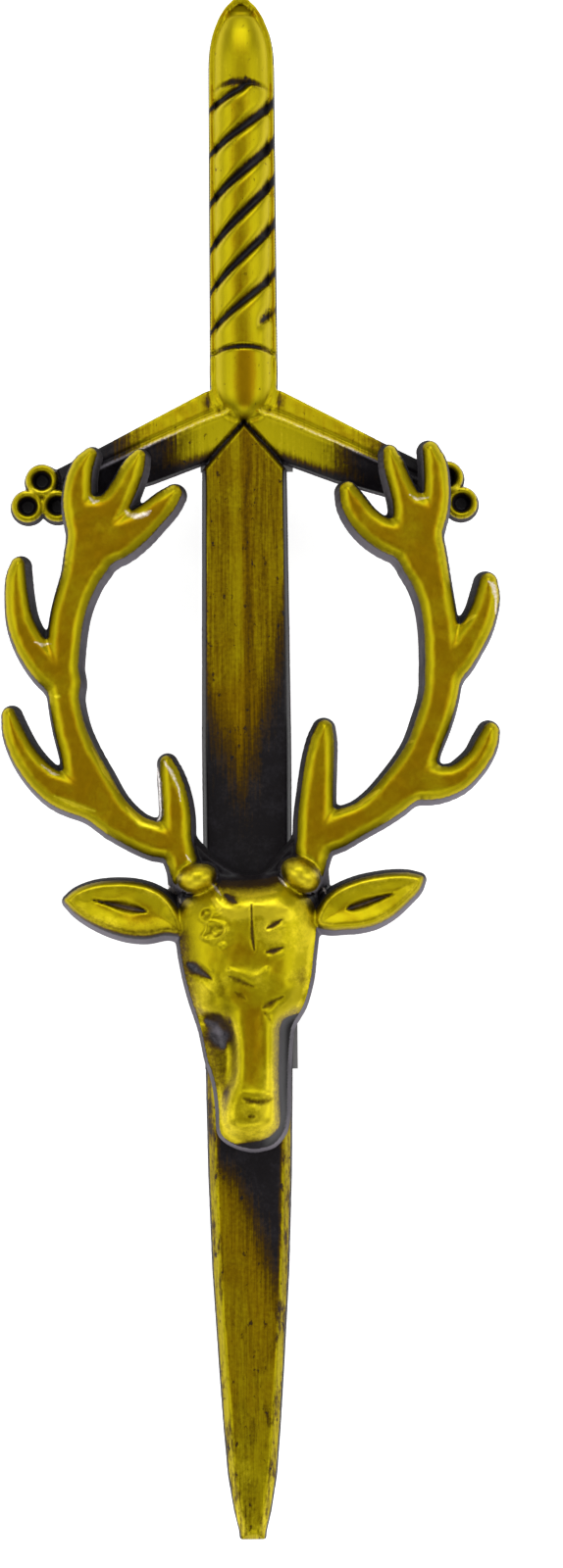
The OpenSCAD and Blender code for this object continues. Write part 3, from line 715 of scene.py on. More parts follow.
# streaks and bands of the brushing along the sword, and round specks of black
streak = place.noise(place.stretched(7, 0.3, 1), 1, 4, 0.65)
band = place.noise(place.stretched(2.2, 0.03, 0), 1, 3, 0.6)
specks = place.noise(place.stretched(2.6, 1.6, 1), 1, 3, 0.6)
share = place.attribute("rubbed") - hollow.between(0.05, 0.3)*0.9
share = share + (streak - 0.5)*0.7 + (band - 0.5)*0.35
share = share - specks.between(0.62, 0.72)*0.35
mottle = place.noise(place.stretched(1.3, 0.45, 1), 1, 4, 0.7)
share = share - mottle.between(0.45, 0.68)*place.attribute("worn")
tone = place.attribute("tone") + (band - 0.5)*0.6 + (streak - 0.5)*0.7
steep, loss = 0.12, 0.15
# the sword's walls get a painted faint reflection where they face the blade's tip
fine = antique(tone, share, dark_wall_sheen, steep, loss, place, normal, shader)
brushed = place.node("ShaderNodeBump", {}, {"Strength": 0.25, "Distance": 0.03*MM,
                                            "Height": streak*0.8 + fine*0.4})
wire(shader, Normal=brushed)
sword.data.materials.append(material)
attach(sword, "root")
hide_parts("sword")

# The stag's head: a second flat-backed brass casting, laid on the blade and fixed from behind.
# Its antlers and ears have flat tops, soft upper edges and leaning side walls; the face is
# modelled in relief. The tops were polished, and the walls kept their dark patina, shown with a
# painted grey reflection where they face the blade's tip.
stag_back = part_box("stag_head")[0][2]/MM
antler_reach, antler_rise, beam_w, antler_h = 16.05, 28.3, 1.6, 3.2
antlers_below = 1.8
crown_y = sleeve_end - antlers_below - antler_rise
# The walls lean out by stag_draft from the flat tops, and the round edges start at top_draft
stag_draft, top_draft, spread = 0.5, 0.26, 1.008
antler_foot, antler_round = 2.65, 0.8
ear_foot, ear_round, ear_dish = 2.6, 0.5, 0.3
bridge_foot, bridge_h, bridge_round = 1.9, 2.1, 0.2
knob_foot, face_h, skirt_foot, skirt_h = 2.9, 4.6, 1.9, 2.0
# How wide the soft corners are where limbs, ears, body and knobs run into each other
limb_blend, ear_blend, body_blend, knob_blend = 0.35, 0.25, 0.3, 0.2
# Antlers. Columns: share of the antlers' reach from the centre line, share of their rise over
# the crown, half of the top's width as a share of the beam's width
left_antler = [
    # beam
    [(-0.245, 0.02, 0.42), (-0.285, 0.085, 0.46), (-0.365, 0.102, 0.55), (-0.45, 0.123, 0.53),
     (-0.55, 0.168, 0.66), (-0.625, 0.233, 0.74), (-0.672, 0.305, 0.55), (-0.703, 0.36, 0.48),
     (-0.722, 0.42, 0.46), (-0.727, 0.48, 0.48), (-0.722, 0.54, 0.5), (-0.71, 0.6, 0.52),
     (-0.688, 0.65, 0.54), (-0.652, 0.705, 0.62), (-0.618, 0.755, 0.82), (-0.6, 0.8, 0.82),
     (-0.605, 0.83, 0.78)],
    # first upper tine
    [(-0.62, 0.81, 0.7), (-0.66, 0.86, 0.48), (-0.662, 0.905, 0.4), (-0.645, 0.95, 0.3),
     (-0.612, 0.98, 0.12)],
    # second upper tine
    [(-0.59, 0.815, 0.7), (-0.515, 0.868, 0.46), (-0.475, 0.907, 0.38), (-0.442, 0.948, 0.3),
     (-0.418, 0.975, 0.12)],
    # third upper tine, towards the blade
    [(-0.6, 0.775, 0.76), (-0.52, 0.786, 0.72), (-0.44, 0.809, 0.55), (-0.375, 0.838, 0.42),
     (-0.32, 0.867, 0.34), (-0.28, 0.89, 0.18)],
    # outer tine
    [(-0.722, 0.46, 0.5), (-0.775, 0.485, 0.52), (-0.825, 0.52, 0.5), (-0.868, 0.56, 0.44),
     (-0.897, 0.605, 0.38), (-0.908, 0.655, 0.32), (-0.91, 0.7, 0.26), (-0.902, 0.73, 0.14)],
    # lower outer tine
    [(-0.607, 0.193, 0.67), (-0.72, 0.212, 0.6), (-0.79, 0.233, 0.47), (-0.85, 0.268, 0.4),
     (-0.895, 0.308, 0.34), (-0.926, 0.35, 0.27), (-0.942, 0.388, 0.14)],
    # brow tine
    [(-0.28, 0.085, 0.44), (-0.28, 0.15, 0.44), (-0.288, 0.2, 0.38), (-0.304, 0.245, 0.27),
     (-0.318, 0.277, 0.12)]]
right_antler = [
    # beam
    [(0.245, 0.03, 0.46), (0.28, 0.095, 0.52), (0.36, 0.122, 0.6), (0.45, 0.145, 0.5),
     (0.53, 0.174, 0.56), (0.605, 0.212, 0.66), (0.668, 0.26, 0.64), (0.706, 0.31, 0.52),
     (0.74, 0.36, 0.54), (0.768, 0.41, 0.54), (0.782, 0.46, 0.56), (0.782, 0.52, 0.56),
     (0.776, 0.58, 0.54), (0.76, 0.64, 0.54), (0.735, 0.695, 0.64), (0.702, 0.75, 0.82),
     (0.685, 0.795, 0.8), (0.69, 0.83, 0.74)],
    # first upper tine
    [(0.71, 0.81, 0.66), (0.757, 0.85, 0.4), (0.765, 0.9, 0.36), (0.76, 0.95, 0.32),
     (0.742, 0.985, 0.18)],
    # second upper tine
    [(0.68, 0.82, 0.7), (0.648, 0.865, 0.44), (0.62, 0.908, 0.32), (0.597, 0.948, 0.26),
     (0.581, 0.98, 0.12)],
    # third upper tine, towards the blade
    [(0.68, 0.78, 0.76), (0.6, 0.783, 0.58), (0.532, 0.8, 0.48), (0.476, 0.828, 0.42),
     (0.436, 0.862, 0.36), (0.412, 0.893, 0.2)],
    # outer tine
    [(0.785, 0.475, 0.5), (0.835, 0.505, 0.54), (0.88, 0.542, 0.5), (0.92, 0.578, 0.45),
     (0.948, 0.615, 0.38), (0.963, 0.65, 0.33), (0.967, 0.683, 0.2)],
    # lower outer tine
    [(0.68, 0.235, 0.72), (0.76, 0.226, 0.53), (0.838, 0.236, 0.4), (0.892, 0.261, 0.34),
     (0.93, 0.287, 0.3), (0.956, 0.317, 0.28), (0.972, 0.343, 0.18)],
    # brow tine
    [(0.262, 0.09, 0.5), (0.272, 0.15, 0.56), (0.28, 0.21, 0.5), (0.29, 0.27, 0.44),
     (0.302, 0.32, 0.34), (0.311, 0.352, 0.18)]]
antler_limbs = [smooth(np.array(rows)*[antler_reach, antler_rise, beam_w] + [0, crown_y, 0], 3)
                for rows in left_antler + right_antler]
# From here on, x and y are in millimetres from the middle of the crown. Lines of the flat tops
# of the ears, from the tip along the upper edge and back
left_ear = smooth([
    (-11.5, -1.0), (-10.9, -0.5), (-9.9, -0.12), (-8.7, 0.04), (-7.3, -0.02), (-6.1, -0.35),
    (-5.2, -0.95), (-4.5, -2.0), (-4.3, -3.1), (-5.3, -3.1), (-6.5, -3.32), (-7.7, -3.22),
    (-8.9, -2.85), (-10, -2.3), (-10.9, -1.66), (-11.5, -1.0)], 4)
right_ear = smooth([
    (11.05, 0.22), (10.3, 0.4), (9.3, 0.42), (8.3, 0.3), (7.3, 0.1), (6.4, -0.2), (5.6, -0.62),
    (4.9, -1.3), (4.4, -2.5), (5.2, -2.85), (6.2, -2.82), (7.2, -2.75), (8.2, -2.5), (9.2, -1.95),
    (10.1, -1.15), (10.8, -0.4), (11.05, 0.22)], 4)
# The lens-shaped slits in the ears. Columns: x and y of the outer and of the inner end, half
# width, and how far the widest spot is moved towards one end
slits = [(-9.9, -1.0, -6.5, -1.75, 0.28, 1.6), (6.4, -1.7, 9.3, -0.75, 0.2, 0.6)]
# The head's outline at its flat back, clockwise from the crown
head_line = smooth([
    (0.3, 0.6), (2.2, 0.9), (3.9, 0.6), (4.65, -0.9), (4.7, -2.4), (4.55, -3.8), (4.42, -4.9),
    (4.3, -6), (4.06, -7.05), (3.75, -8), (3.32, -8.75), (3.0, -9.3), (2.85, -10.3), (2.75, -12),
    (2.7, -14), (2.62, -15.2), (2.4, -16.1), (1.7, -16.95), (0.8, -17.25), (0.1, -17.3), (-0.9, -17.05),
    (-1.8, -16.5), (-2.15, -15.8), (-2.2, -14.6), (-2.35, -13.2), (-2.6, -12.2), (-2.85, -11.5),
    (-3.06, -10.5), (-3.26, -9.5), (-3.56, -8.55), (-3.88, -7.6), (-4.2, -6.4), (-4.45, -5.2),
    (-4.62, -4.1), (-4.7, -2.4), (-4.6, -0.9), (-3.7, 0.6), (-1.7, 0.9), (0.3, 0.6)], 3)
# The face: forehead, cheeks and muzzle, where their shoulders begin
face_line = smooth([
    (0.2, 0.02), (1.25, 0.12), (2.2, 0.3), (3.0, -0.1), (3.7, -0.85), (4.15, -1.75), (4.3, -2.8),
    (4.25, -3.6), (4.12, -4.9), (3.92, -6.4), (3.6, -7.5), (3.0, -8.25), (2.45, -8.7), (2.2, -9.3),
    (2.15, -10.3), (2.12, -11.7), (2.12, -13.4), (2.16, -14.9), (1.97, -15.8), (1.2, -16.5),
    (0.25, -16.75), (-0.85, -16.7), (-1.65, -16.2), (-2.0, -15.4), (-1.98, -14.4), (-1.75, -13.5),
    (-1.35, -12.5), (-1.25, -11.3), (-1.3, -10.2), (-1.5, -9.25), (-1.85, -8.75), (-2.5, -8.55),
    (-3.15, -8.2), (-3.52, -7.3), (-3.9, -6.2), (-4.15, -4.8), (-4.28, -3.4), (-4.32, -2.4),
    (-4.15, -1.5), (-3.65, -0.9), (-3.0, -0.4), (-2.1, 0.12), (-1.3, 0.02), (0.2, 0.02)], 3)
# The bridge between the antlers' feet. Columns: x, y, half of its top's width
bridge_rows = smooth([
    (-3.9, 2.0, 0.7), (-2.9, 1.0, 0.7), (-1.96, 0.3, 0.72), (-0.9, -0.25, 0.72), (0.18, -0.4, 0.72),
    (1.25, -0.25, 0.72), (2.33, 0.55, 0.72), (3.1, 1.5, 0.7), (4.0, 2.4, 0.7)], 3)
# Lines and dents of the face: how far each stands up, or is cut in where it is negative, and its
# rows of x, y and half of the width
face_marks = [
    # the brow's low V with the cuts under it
    (0.24, [(-1.15, -5.6, 0.1), (-0.5, -5.9, 0.26), (0.13, -6.14, 0.26), (0.77, -6.03, 0.22),
            (1.2, -5.55, 0.1)]),
    (-0.12, [(-1.2, -5.98, 0.05), (-0.75, -6.2, 0.19), (-0.2, -6.42, 0.16), (0.35, -6.66, 0.05)]),
    (0.08, [(-0.2, -6.6, 0.05), (0.15, -6.72, 0.14), (0.5, -6.75, 0.05)]),
    (-0.1, [(-0.85, -6.98, 0.06), (-0.55, -7.2, 0.19), (-0.15, -7.48, 0.05)]),
    # strokes on the right cheek
    (-0.13, [(0.9, -8.05, 0.06), (1.25, -7.85, 0.2), (1.6, -7.62, 0.15), (2.25, -7.3, 0.05)]),
    (0.09, [(1.1, -8.35, 0.06), (1.8, -7.97, 0.18), (2.4, -7.6, 0.06)]),
    (-0.1, [(1.05, -8.38, 0.06), (1.25, -8.58, 0.14), (1.42, -8.85, 0.06)]),
    # the soft fold from the brow down to the muzzle
    (-0.07, [(-1.85, -5.9, 0.1), (-1.65, -6.9, 0.3), (-1.45, -7.9, 0.3), (-1.2, -8.95, 0.12)]),
    # the seam down the forehead and two slits beside it, each over a small lip
    (-0.15, [(0.25, -1.4, 0.06), (0.27, -2.6, 0.09), (0.3, -3.5, 0.14), (0.42, -4.35, 0.05)]),
    (-0.17, [(1.25, -2.92, 0.07), (1.6, -2.76, 0.2), (1.9, -2.56, 0.14), (2.2, -2.36, 0.05)]),
    (0.11, [(1.3, -3.2, 0.06), (1.8, -3.02, 0.17), (2.3, -2.76, 0.06)]),
    (-0.17, [(1.22, -4.46, 0.08), (1.6, -4.4, 0.22), (1.95, -4.28, 0.14), (2.25, -4.16, 0.05)]),
    (0.11, [(1.3, -4.8, 0.06), (1.8, -4.7, 0.16), (2.36, -4.5, 0.05)]),
    (0.09, [(1.5, -4.0, 0.08), (1.9, -3.88, 0.2), (2.3, -3.85, 0.08)]),
    # the dent beside the crown, and crests at the forehead's upper corners
    (-0.2, [(-1.35, -0.8, 0.12), (-1.02, -1.1, 0.28), (-0.75, -1.25, 0.1)]),
    (0.16, [(-2.23, -0.05, 0.1), (-2.1, -0.5, 0.18), (-2.0, -0.95, 0.1)]),
    (0.18, [(-1.85, -0.1, 0.1), (-1.65, -0.55, 0.18), (-1.6, -1.05, 0.1)]),
    (0.14, [(1.95, 0.4, 0.1), (2.35, 0.0, 0.2), (3.3, -1.2, 0.15)]),
    # the crest over the forehead
    (0.1, [(-2.1, -0.95, 0.1), (-1.6, -1.65, 0.17), (-1.0, -1.95, 0.19), (-0.3, -1.98, 0.18),
           (0.15, -1.55, 0.15), (0.6, -1.46, 0.17), (1.42, -1.6, 0.18), (2.5, -1.6, 0.1)]),
    # nostrils under their lip, and the pit in the chin
    (-0.13, [(-0.35, -13.82, 0.08), (0.0, -13.98, 0.21), (0.35, -14.03, 0.15), (0.7, -14.08, 0.22),
             (1.1, -14.0, 0.17), (1.45, -13.85, 0.06)]),
    (0.11, [(-0.4, -13.42, 0.08), (0.55, -13.6, 0.2), (1.55, -13.5, 0.08)]),
    (-0.12, [(0.0, -14.98, 0.1), (0.15, -14.98, 0.17), (0.3, -14.96, 0.1)]),
    # the left eye with its lids, and the hollow of the right one
    (-0.3, [(-3.8, -5.2, 0.1), (-3.4, -5.45, 0.27), (-2.95, -5.74, 0.24), (-2.35, -6.15, 0.06)]),
    (0.12, [(-3.75, -5.9, 0.1), (-3.3, -6.15, 0.24), (-2.7, -6.6, 0.2), (-2.1, -7.05, 0.08)]),
    (0.09, [(-3.4, -4.95, 0.08), (-2.8, -5.25, 0.2), (-2.3, -5.6, 0.08)]),
    (-0.06, [(3.55, -5.6, 0.2), (3.1, -5.95, 0.35), (2.7, -6.3, 0.2)])]
# The hollow beside the top of the muzzle, as rows of x, y and half of the width
hollow_depth, slit_depth, trough_depth = 0.45, 0.35, 0.14
muzzle_hollow = [(-2.7, -8.8, 0.2), (-2.15, -9.2, 0.5), (-1.8, -9.8, 0.42), (-1.65, -10.4, 0.15)]
# Whorls on the left of the forehead. Columns: x, y, radius, height of the ring
whorls = [(-2.08, -3.08, 0.62, 0.15), (-2.66, -1.92, 0.42, 0.09)]
# Knobs at the antlers' feet. Columns: x, y, half length, half width, turn in degrees, height
knobs = [(-3.2, 0.34, 1.36, 1.04, 14, 4.3), (3.42, 0.5, 1.45, 1.12, -36, 4.45)]
foot_groove, raised_share, cut_share = 0.08, 0.6, 0.4
# Spots with a painted yellow highlight, and spots with a painted white glint, in the same kind of rows
highlight_spots = [
    [(-2.2, -1.0, 0.15), (-1.6, -1.7, 0.3), (-1.0, -2.0, 0.35), (-0.3, -2.0, 0.35), (0.3, -1.65, 0.4),
     (1.0, -1.65, 0.5), (1.8, -1.9, 0.6), (2.6, -2.1, 0.3)],
    [(-1.4, -0.5, 0.1), (-0.4, -0.6, 0.25), (0.8, -0.5, 0.3), (1.8, -0.6, 0.1)],
    [(-12.35, 5.7, 0.1), (-11.06, 5.14, 0.2), (-9.76, 4.7, 0.1)],
    [(-7.74, 4.95, 0.08), (-6.81, 3.85, 0.22), (-5.67, 3.6, 0.12)],
    [(5.66, 4.4, 0.1), (7.06, 4.96, 0.2), (8.55, 5.95, 0.1)],
    [(-9.9, 8.8, 0.05), (-9.1, 7.2, 0.16), (-8.2, 5.9, 0.08)],
    [(13.57, 16.5, 0.1), (14.01, 16.62, 0.18), (14.77, 17.1, 0.1)],
    [(-3.9, 0.0, 0.12), (-3.55, -0.2, 0.25), (-3.0, 0.1, 0.12)],
    [(2.7, 0.6, 0.12), (3.1, 0.2, 0.25), (3.9, 0.3, 0.15)],
    [(-12.2, 12.1, 0.12), (-12.0, 12.1, 0.12)], [(10.5, 9.0, 0.12), (10.7, 9.05, 0.12)]]
bare_spots = [
    [(-7.66, 24.05, 0.08), (-7.38, 23.75, 0.17), (-6.84, 23.68, 0.2), (-6.3, 23.8, 0.17),
     (-6.0, 24.0, 0.05)],
    [(-10.0, 24.95, 0.05), (-9.68, 24.62, 0.13), (-9.33, 24.7, 0.05)],
    [(-13.6, 15.65, 0.04), (-13.03, 15.44, 0.12), (-12.46, 15.54, 0.04)],
    [(-13.2, 7.75, 0.04), (-12.4, 7.15, 0.1), (-12.0, 7.05, 0.04)],
    [(-5.8, 7.6, 0.08), (-5.6, 6.6, 0.15), (-5.55, 5.2, 0.17), (-5.5, 4.5, 0.17), (-5.75, 4.1, 0.08)],
    [(-5.28, 7.87, 0.08), (-4.78, 7.11, 0.13), (-4.35, 6.1, 0.07), (-4.25, 5.3, 0.04)],
    [(10.58, 24.95, 0.04), (11.12, 24.62, 0.12), (11.88, 24.75, 0.04)],
    [(15.6, 19.3, 0.05), (15.95, 19.05, 0.17), (16.1, 18.3, 0.12), (16.1, 17.2, 0.05)],
    [(-2.23, -0.05, 0.06), (-1.95, -0.4, 0.12), (-1.7, -0.8, 0.04)],
    [(2.0, 0.36, 0.06), (2.25, 0.05, 0.13), (2.5, -0.28, 0.06)],
    [(-3.92, 1.86, 0.04), (-3.78, 1.6, 0.08), (-3.6, 1.4, 0.04)],
    [(-5.95, 0.67, 0.05), (-5.6, 0.48, 0.12), (-5.32, 0.29, 0.05)],
    [(-5.13, -0.03, 0.05), (-4.75, -0.41, 0.11), (-4.6, -0.6, 0.05)],
    [(-4.51, -0.79, 0.05), (-4.4, -1.0, 0.11), (-4.32, -1.23, 0.05)],
    [(4.84, -0.24, 0.05), (4.95, -0.45, 0.1), (5.02, -0.68, 0.05)]]


def chain_distance(x, y, rows):
    """Distance to a chain of round strips; rows are x, y and half of the width."""
    rows = np.asarray(rows, float)
    low, high = rows[:, :2].min(0) - 3, rows[:, :2].max(0) + 3
    near = (x > low[0]) & (x < high[0]) & (y > low[1]) & (y < high[1])
    best = np.full(near.sum(), 2.0)
    for (ax, ay, ar), (bx, by, br) in zip(rows, rows[1:]):
        away, along = to_line(x[near], y[near], ax, ay, bx, by)
        best = np.minimum(best, away - ar - along*(br - ar))
    result = np.full(x.shape, 2.0)
    result[near] = best
    return result


def stroke(x, y, rows):
    """1 on a line that swells and tapers, 0 away from it; rows are x, y and half of the width."""
    off = np.full(x.shape, 9.0)
    for (ax, ay, ar), (bx, by, br) in zip(rows, rows[1:]):
        away, along = to_line(x, y, ax, ay, bx, by)
        off = np.minimum(off, away/(ar + along*(br - ar)))
    return bump(off, 1)


def most(a, b, soft):
    """The greater of two, with the corner between them rounded."""
    return -least(-a, -b, soft)


def near_outline(x, y, points, reach=1.5):
    """Distance to a closed line, worked out only near it and inside it."""
    low, high = points.min(0) - reach, points.max(0) + reach
    near = (x > low[0]) & (x < high[0]) & (y > low[1]) & (y < high[1])
    result = np.full(x.shape, reach)
    result[near] = loop_distance(x[near], y[near], points)
    return result


def stag_limbs(x, y):
    """Distances to the edges of the tops of the antlers and of the ears."""
    v = y - crown_y
    antlers = np.full(x.shape, 2.0)
    for limb in antler_limbs:
        antlers = least(antlers, chain_distance(x, y, limb), limb_blend)
    return antlers, np.minimum(near_outline(x, v, left_ear), near_outline(x, v, right_ear))


def in_knobs(x, v):
    """For each knob, how far out a point lies, where 1 is its edge, and its size and height."""
    for kx, ky, a, b, turn, top in knobs:
        c, s = math.cos(math.radians(turn)), math.sin(math.radians(turn))
        away = np.hypot(((x - kx)*c + (v - ky)*s)/a, (-(x - kx)*s + (v - ky)*c)/b)
        yield away, math.sqrt(a*b), top


def stag_edge(x, y):
    """Distance to the stag's outline at its back, negative inside."""
    v = y - crown_y
    antlers, ears = stag_limbs(x, y)
    head = near_outline(x, v, head_line) + stag_draft
    body = least(chain_distance(x, v, bridge_rows), head, knob_blend)
    for away, size, top in in_knobs(x, v):
        body = least(body, (away - 1)*size, knob_blend)
    return least(least(antlers, ears, ear_blend), body, body_blend) - stag_draft


def part_high(inside, depth, foot, top, reach, power=2.3):
    """Height of one part: round from its foot height up to its top, and outside its own edge a
    straight wall down to the casting's outline, which is depth away."""
    shoulder = foot + (top - foot)*(1 - (1 - np.clip(inside/reach, 0, 1))**power)
    wall = foot*np.maximum(depth, 0)/np.maximum(depth - inside, 0.01)
    return np.where(inside < 0, wall, shoulder)


def face_top(x, v):
    """Height of the middle of the face, before its shoulders are rounded off."""
    z = face_h - 0.85*np.clip(np.abs(x - 0.1)/4.2, 0, 1)**2*fade(v, -9.5, -7.5)
    z -= 0.55*fade(v, -1.5, 0.6) + 0.14*fade(v, -5.6, -8.4)
    z += 0.1*fade(v, -2.3, -1.5)*fade(v, 0.2, -0.8)
    # the muzzle: a shallow trough between two bright ridges, then the swell of the nose
    along = fade(v, -7.6, -8.8)
    z += along*(0.08 - trough_depth*bump(x - 0.22, 0.55)*fade(v, -13.5, -12.6))
    z += 0.12*spot(x, v, 0.25, -15.0, 1.4, 0.75) - 0.4*fade(v, -15.3, -16.7)
    # the cheeks swell a little beside the muzzle's foot
    return z + 0.12*(spot(x, v, -2.6, -7.2, 0.8, 0.8) + spot(x, v, 2.7, -6.7, 0.9, 0.9))


def ear_slits(x, v):
    """1 at the bottom of the slit in the middle of each ear, 0 outside."""
    shown = np.zeros(x.shape)
    for ax, ay, bx, by, wide, lean in slits:
        away, along = to_line(x, v, ax, ay, bx, by)
        half = 0.06 + wide*np.sin(math.pi*along**lean)**1.3
        shown = np.maximum(shown, bump(away/half, 0.9))
    return shown


def head_blank(x, v):
    """Height of the head before it is smoothed: the face, and a lower skirt round the muzzle that
    on its left is a flank with a hollow at its top."""
    head = -near_outline(x, v, head_line) - top_draft
    flank = fade(x, -0.9, -1.3)*fade(v, -8.4, -8.9)*fade(v, -15.6, -14.4)
    skirt = part_high(head, head + top_draft, skirt_foot + 0.8*flank, skirt_h + 1.1*flank,
                      0.4 + 0.3*flank)
    skirt -= hollow_depth*stroke(x, v, muzzle_hollow)
    cheeks = fade(v, -9.4, -8.0)
    foot = 2.7 + 0.4*cheeks + 0.4*fade(v, -14.8, -15.8)
    reach = 1.0 + 0.6*cheeks + 0.4*fade(v, -15, -16)
    face = -near_outline(x, v, face_line)
    return np.maximum(skirt, part_high(face, head + top_draft, foot, face_top(x, v), reach, 2))


# The head alone is smoothed, on a grid of small cells that ends at its outline
cell, reach = 0.08, 0.2
xs, vs = np.arange(-6, 6, cell), np.arange(-19, 3, cell)
x, v = np.meshgrid(xs, vs)
on_head = (near_outline(x, v, head_line) < -top_draft)*1.0
body = softened(head_blank(x, v)*on_head, cell, reach)/np.maximum(softened(on_head, cell, reach), 0.02)
head_form = read_from(xs, vs, body)


def in_whorls(x, v):
    """For each whorl, the distance to its slightly bent middle, its radius and its rise."""
    bent = 1 + 0.25*unevenness(x, v, 1.1, 5)
    for wx, wy, radius, rise in whorls:
        yield np.hypot(x - wx, v - wy)*bent, radius, rise


def stag_high_at(x, y, edge):
    """Height of the stag's face, antlers and ears over the flat back."""
    v, depth = y - crown_y, -edge
    top = antler_h + 0.02*unevenness(x, y, 2.8, 4)
    antlers, ears = stag_limbs(x/spread, y)
    antlers, ears = stag_draft - top_draft - antlers, stag_draft - top_draft - ears
    high = part_high(antlers, depth, antler_foot, top, antler_round)
    # ears: a rim round a dished middle with a slit in it
    dish = ear_dish*fade(ears, 0.3, 1.5) + slit_depth*ear_slits(x, v)
    high = most(high, part_high(ears, depth, ear_foot, top, ear_round) - dish, 0.12)
    bridge = stag_draft - top_draft - chain_distance(x, v, bridge_rows)
    high = most(high, part_high(bridge, depth, bridge_foot, bridge_h, bridge_round), 0.1)
    head = -near_outline(x, v, head_line) - top_draft
    body = head_form(x, v)
    body = np.where(head < 0, body*np.maximum(depth, 0)/np.maximum(depth - head, 0.01), body)
    high = most(high, np.where(head > -1, body, 0), knob_blend)
    for away, size, knob_h in in_knobs(x, v):
        ball = knob_foot + (knob_h - knob_foot)*np.clip(1 - away**2.4, 0, 1)**0.8
        at_foot = high - foot_groove*bump((away - 1)*size, 0.2)
        high = np.where(away < 1, most(ball, high, body_blend), at_foot)
    for rise, rows in face_marks:
        share = raised_share if rise > 0 else cut_share
        high = high + share*rise*stroke(x, v, rows)**0.5*(head > 0)
    for away, radius, rise in in_whorls(x, v):
        high = high + rise*(bump(away - radius, 0.2) - bump(away, 0.3))
    return high + 0.01*unevenness(x, y, 0.9, 8)*fade(depth, 0.2, 0.6)


stag_rows_y = np.arange(crown_y - 17.6, crown_y + 29.4, step)
stag_levels = (0, 0.13, 0.26, 0.33)
stag = casting("stag_casting", stag_edge, stag_high_at, (-16.9, 16.9, step), stag_rows_y,
               stag_levels, stag_back)
stag_hollow = hollowness(stag_edge, stag_high_at, (-17, -26), (17.4, 22), 0.12, 0.25)


# Where the brass shows on the stag: black stayed in the cuts, slits and dents and on what lies low
def stag_rubbed(x, y, z):
    v = y - crown_y
    ink = np.maximum(0.62*ear_slits(x, v), 0.85*stroke(x, v, muzzle_hollow)**0.5)
    for rise, rows in face_marks:
        if rise < 0:
            ink = np.maximum(ink, min(0.75, -4*rise)*stroke(x, v, rows)**0.55)
    for away, radius, rise in in_whorls(x, v):
        ink = np.maximum(ink, 0.35*bump(away - 0.5*radius, 0.14))
    # the left cheek and flank, the dip between the knobs and the right eye's hollow
    cheek = 0.5*fade(x, -2.8, -4.2)*fade(v, -1.0, -4)*fade(v, -16, -14)
    flank = 0.45*fade(v, -9.2, -10)*fade(v, -14.2, -12.8)*fade(x, -1.15, -1.6)
    dip = 0.3*fade(v, -1.2, 0)*fade(v, 1.2, 0.2)*fade(np.abs(x), 2.6, 1.9)
    eye = 0.3*spot(x, v, 3.7, -6.3, 0.5, 0.5)
    beside = fade(x, -1.6, -1.0)*fade(v, -8.3, -8.9) + fade(v, -15.9, -16.4)
    low = 2.1 + 0.75*np.clip(beside, 0, 1)
    return fade(z - stag_back, low, low + 0.5) - ink - cheek - flank - dip - eye


# How yellow the brass is: the head clearer than the antlers. On the head it also holds painted
# light: highlights on the right of the forehead, on the knobs and at the muzzle's end, and shade as
# brown in the muzzle's trough, the dip between the cheeks, on the upper left side and over the
# knobs' middles
head_tone, ear_tone = 0.85, 0.75
# Painted shade on the face, as brown spots. Columns: x, y, half width, half height, strength
shade_spots = [(-0.4, -7.0, 1.5, 1, 0.6), (-0.3, -4.0, 1.2, 1, 0.5), (-3.2, -4.3, 0.9, 1.44, 0.35),
               (1.6, -5.6, 0.8, 0.64, 0.3)]


def stag_tone(x, y, z):
    v = y - crown_y
    head = fade(-near_outline(x, v, head_line), 0, 0.6)
    # painted shade: brown down the muzzle's trough and at the listed spots
    painted_shade = 1.1*bump(to_line(x, v, 0.2, -8.6, 0.25, -12.4)[0], 0.65)
    for *place, strength in shade_spots:
        painted_shade += strength*spot(x, v, *place)
    # painted highlight on the right of the forehead, and painted shade on the upper left side
    painted_light = 0.05*spot(x, v, 2.2, -2.7, 1.9, 2.8) - 0.35*fade(x, -2.2, -4)*fade(v, -8, -6)
    for kx, ky, *size in knobs:
        knob = fade(np.hypot(x - kx, v - ky), 1.5, 1.2)
        # painted highlight on the knobs, and painted shade a little above their middles
        head, painted_light = np.maximum(head, knob), np.maximum(painted_light, 0.1*knob)
        painted_shade += 0.12*spot(x, v, kx, ky + 0.3, 0.5, 0.5)
    # painted highlight at the muzzle's end
    painted_light += 0.15*fade(v, -14.0, -15)
    ears = sum(fade(-near_outline(x, v, ear), -0.3, 0.2) for ear in (left_ear, right_ear))
    in_ear = bump(to_line(x, v, -9.6, -1.2, -6.3, -1.9)[0], 0.8)
    in_ear = in_ear + bump(to_line(x, v, 6.2, -1.9, 9.0, -1.0)[0], 0.7)
    # painted yellow highlights at the listed spots
    clear = np.max([stroke(x, v, rows) for rows in highlight_spots], axis=0)
    tone = np.maximum(head*(head_tone - painted_shade + painted_light), ears*(ear_tone - 0.55*in_ear))
    return tone + clear*(1.4 - 0.4*head)


# painted white glints at the listed spots
def stag_bare(x, y, z):
    return np.max([stroke(x, y - crown_y, rows) for rows in bare_spots], axis=0)**0.4*0.68


# Where a painted grey sheen lies on the black: the hollow beside the muzzle, the left eye, and
# the ears' slits
left_eye = [(-3.75, -5.2, 0.2), (-3.3, -5.55, 0.35), (-2.6, -5.95, 0.2)]


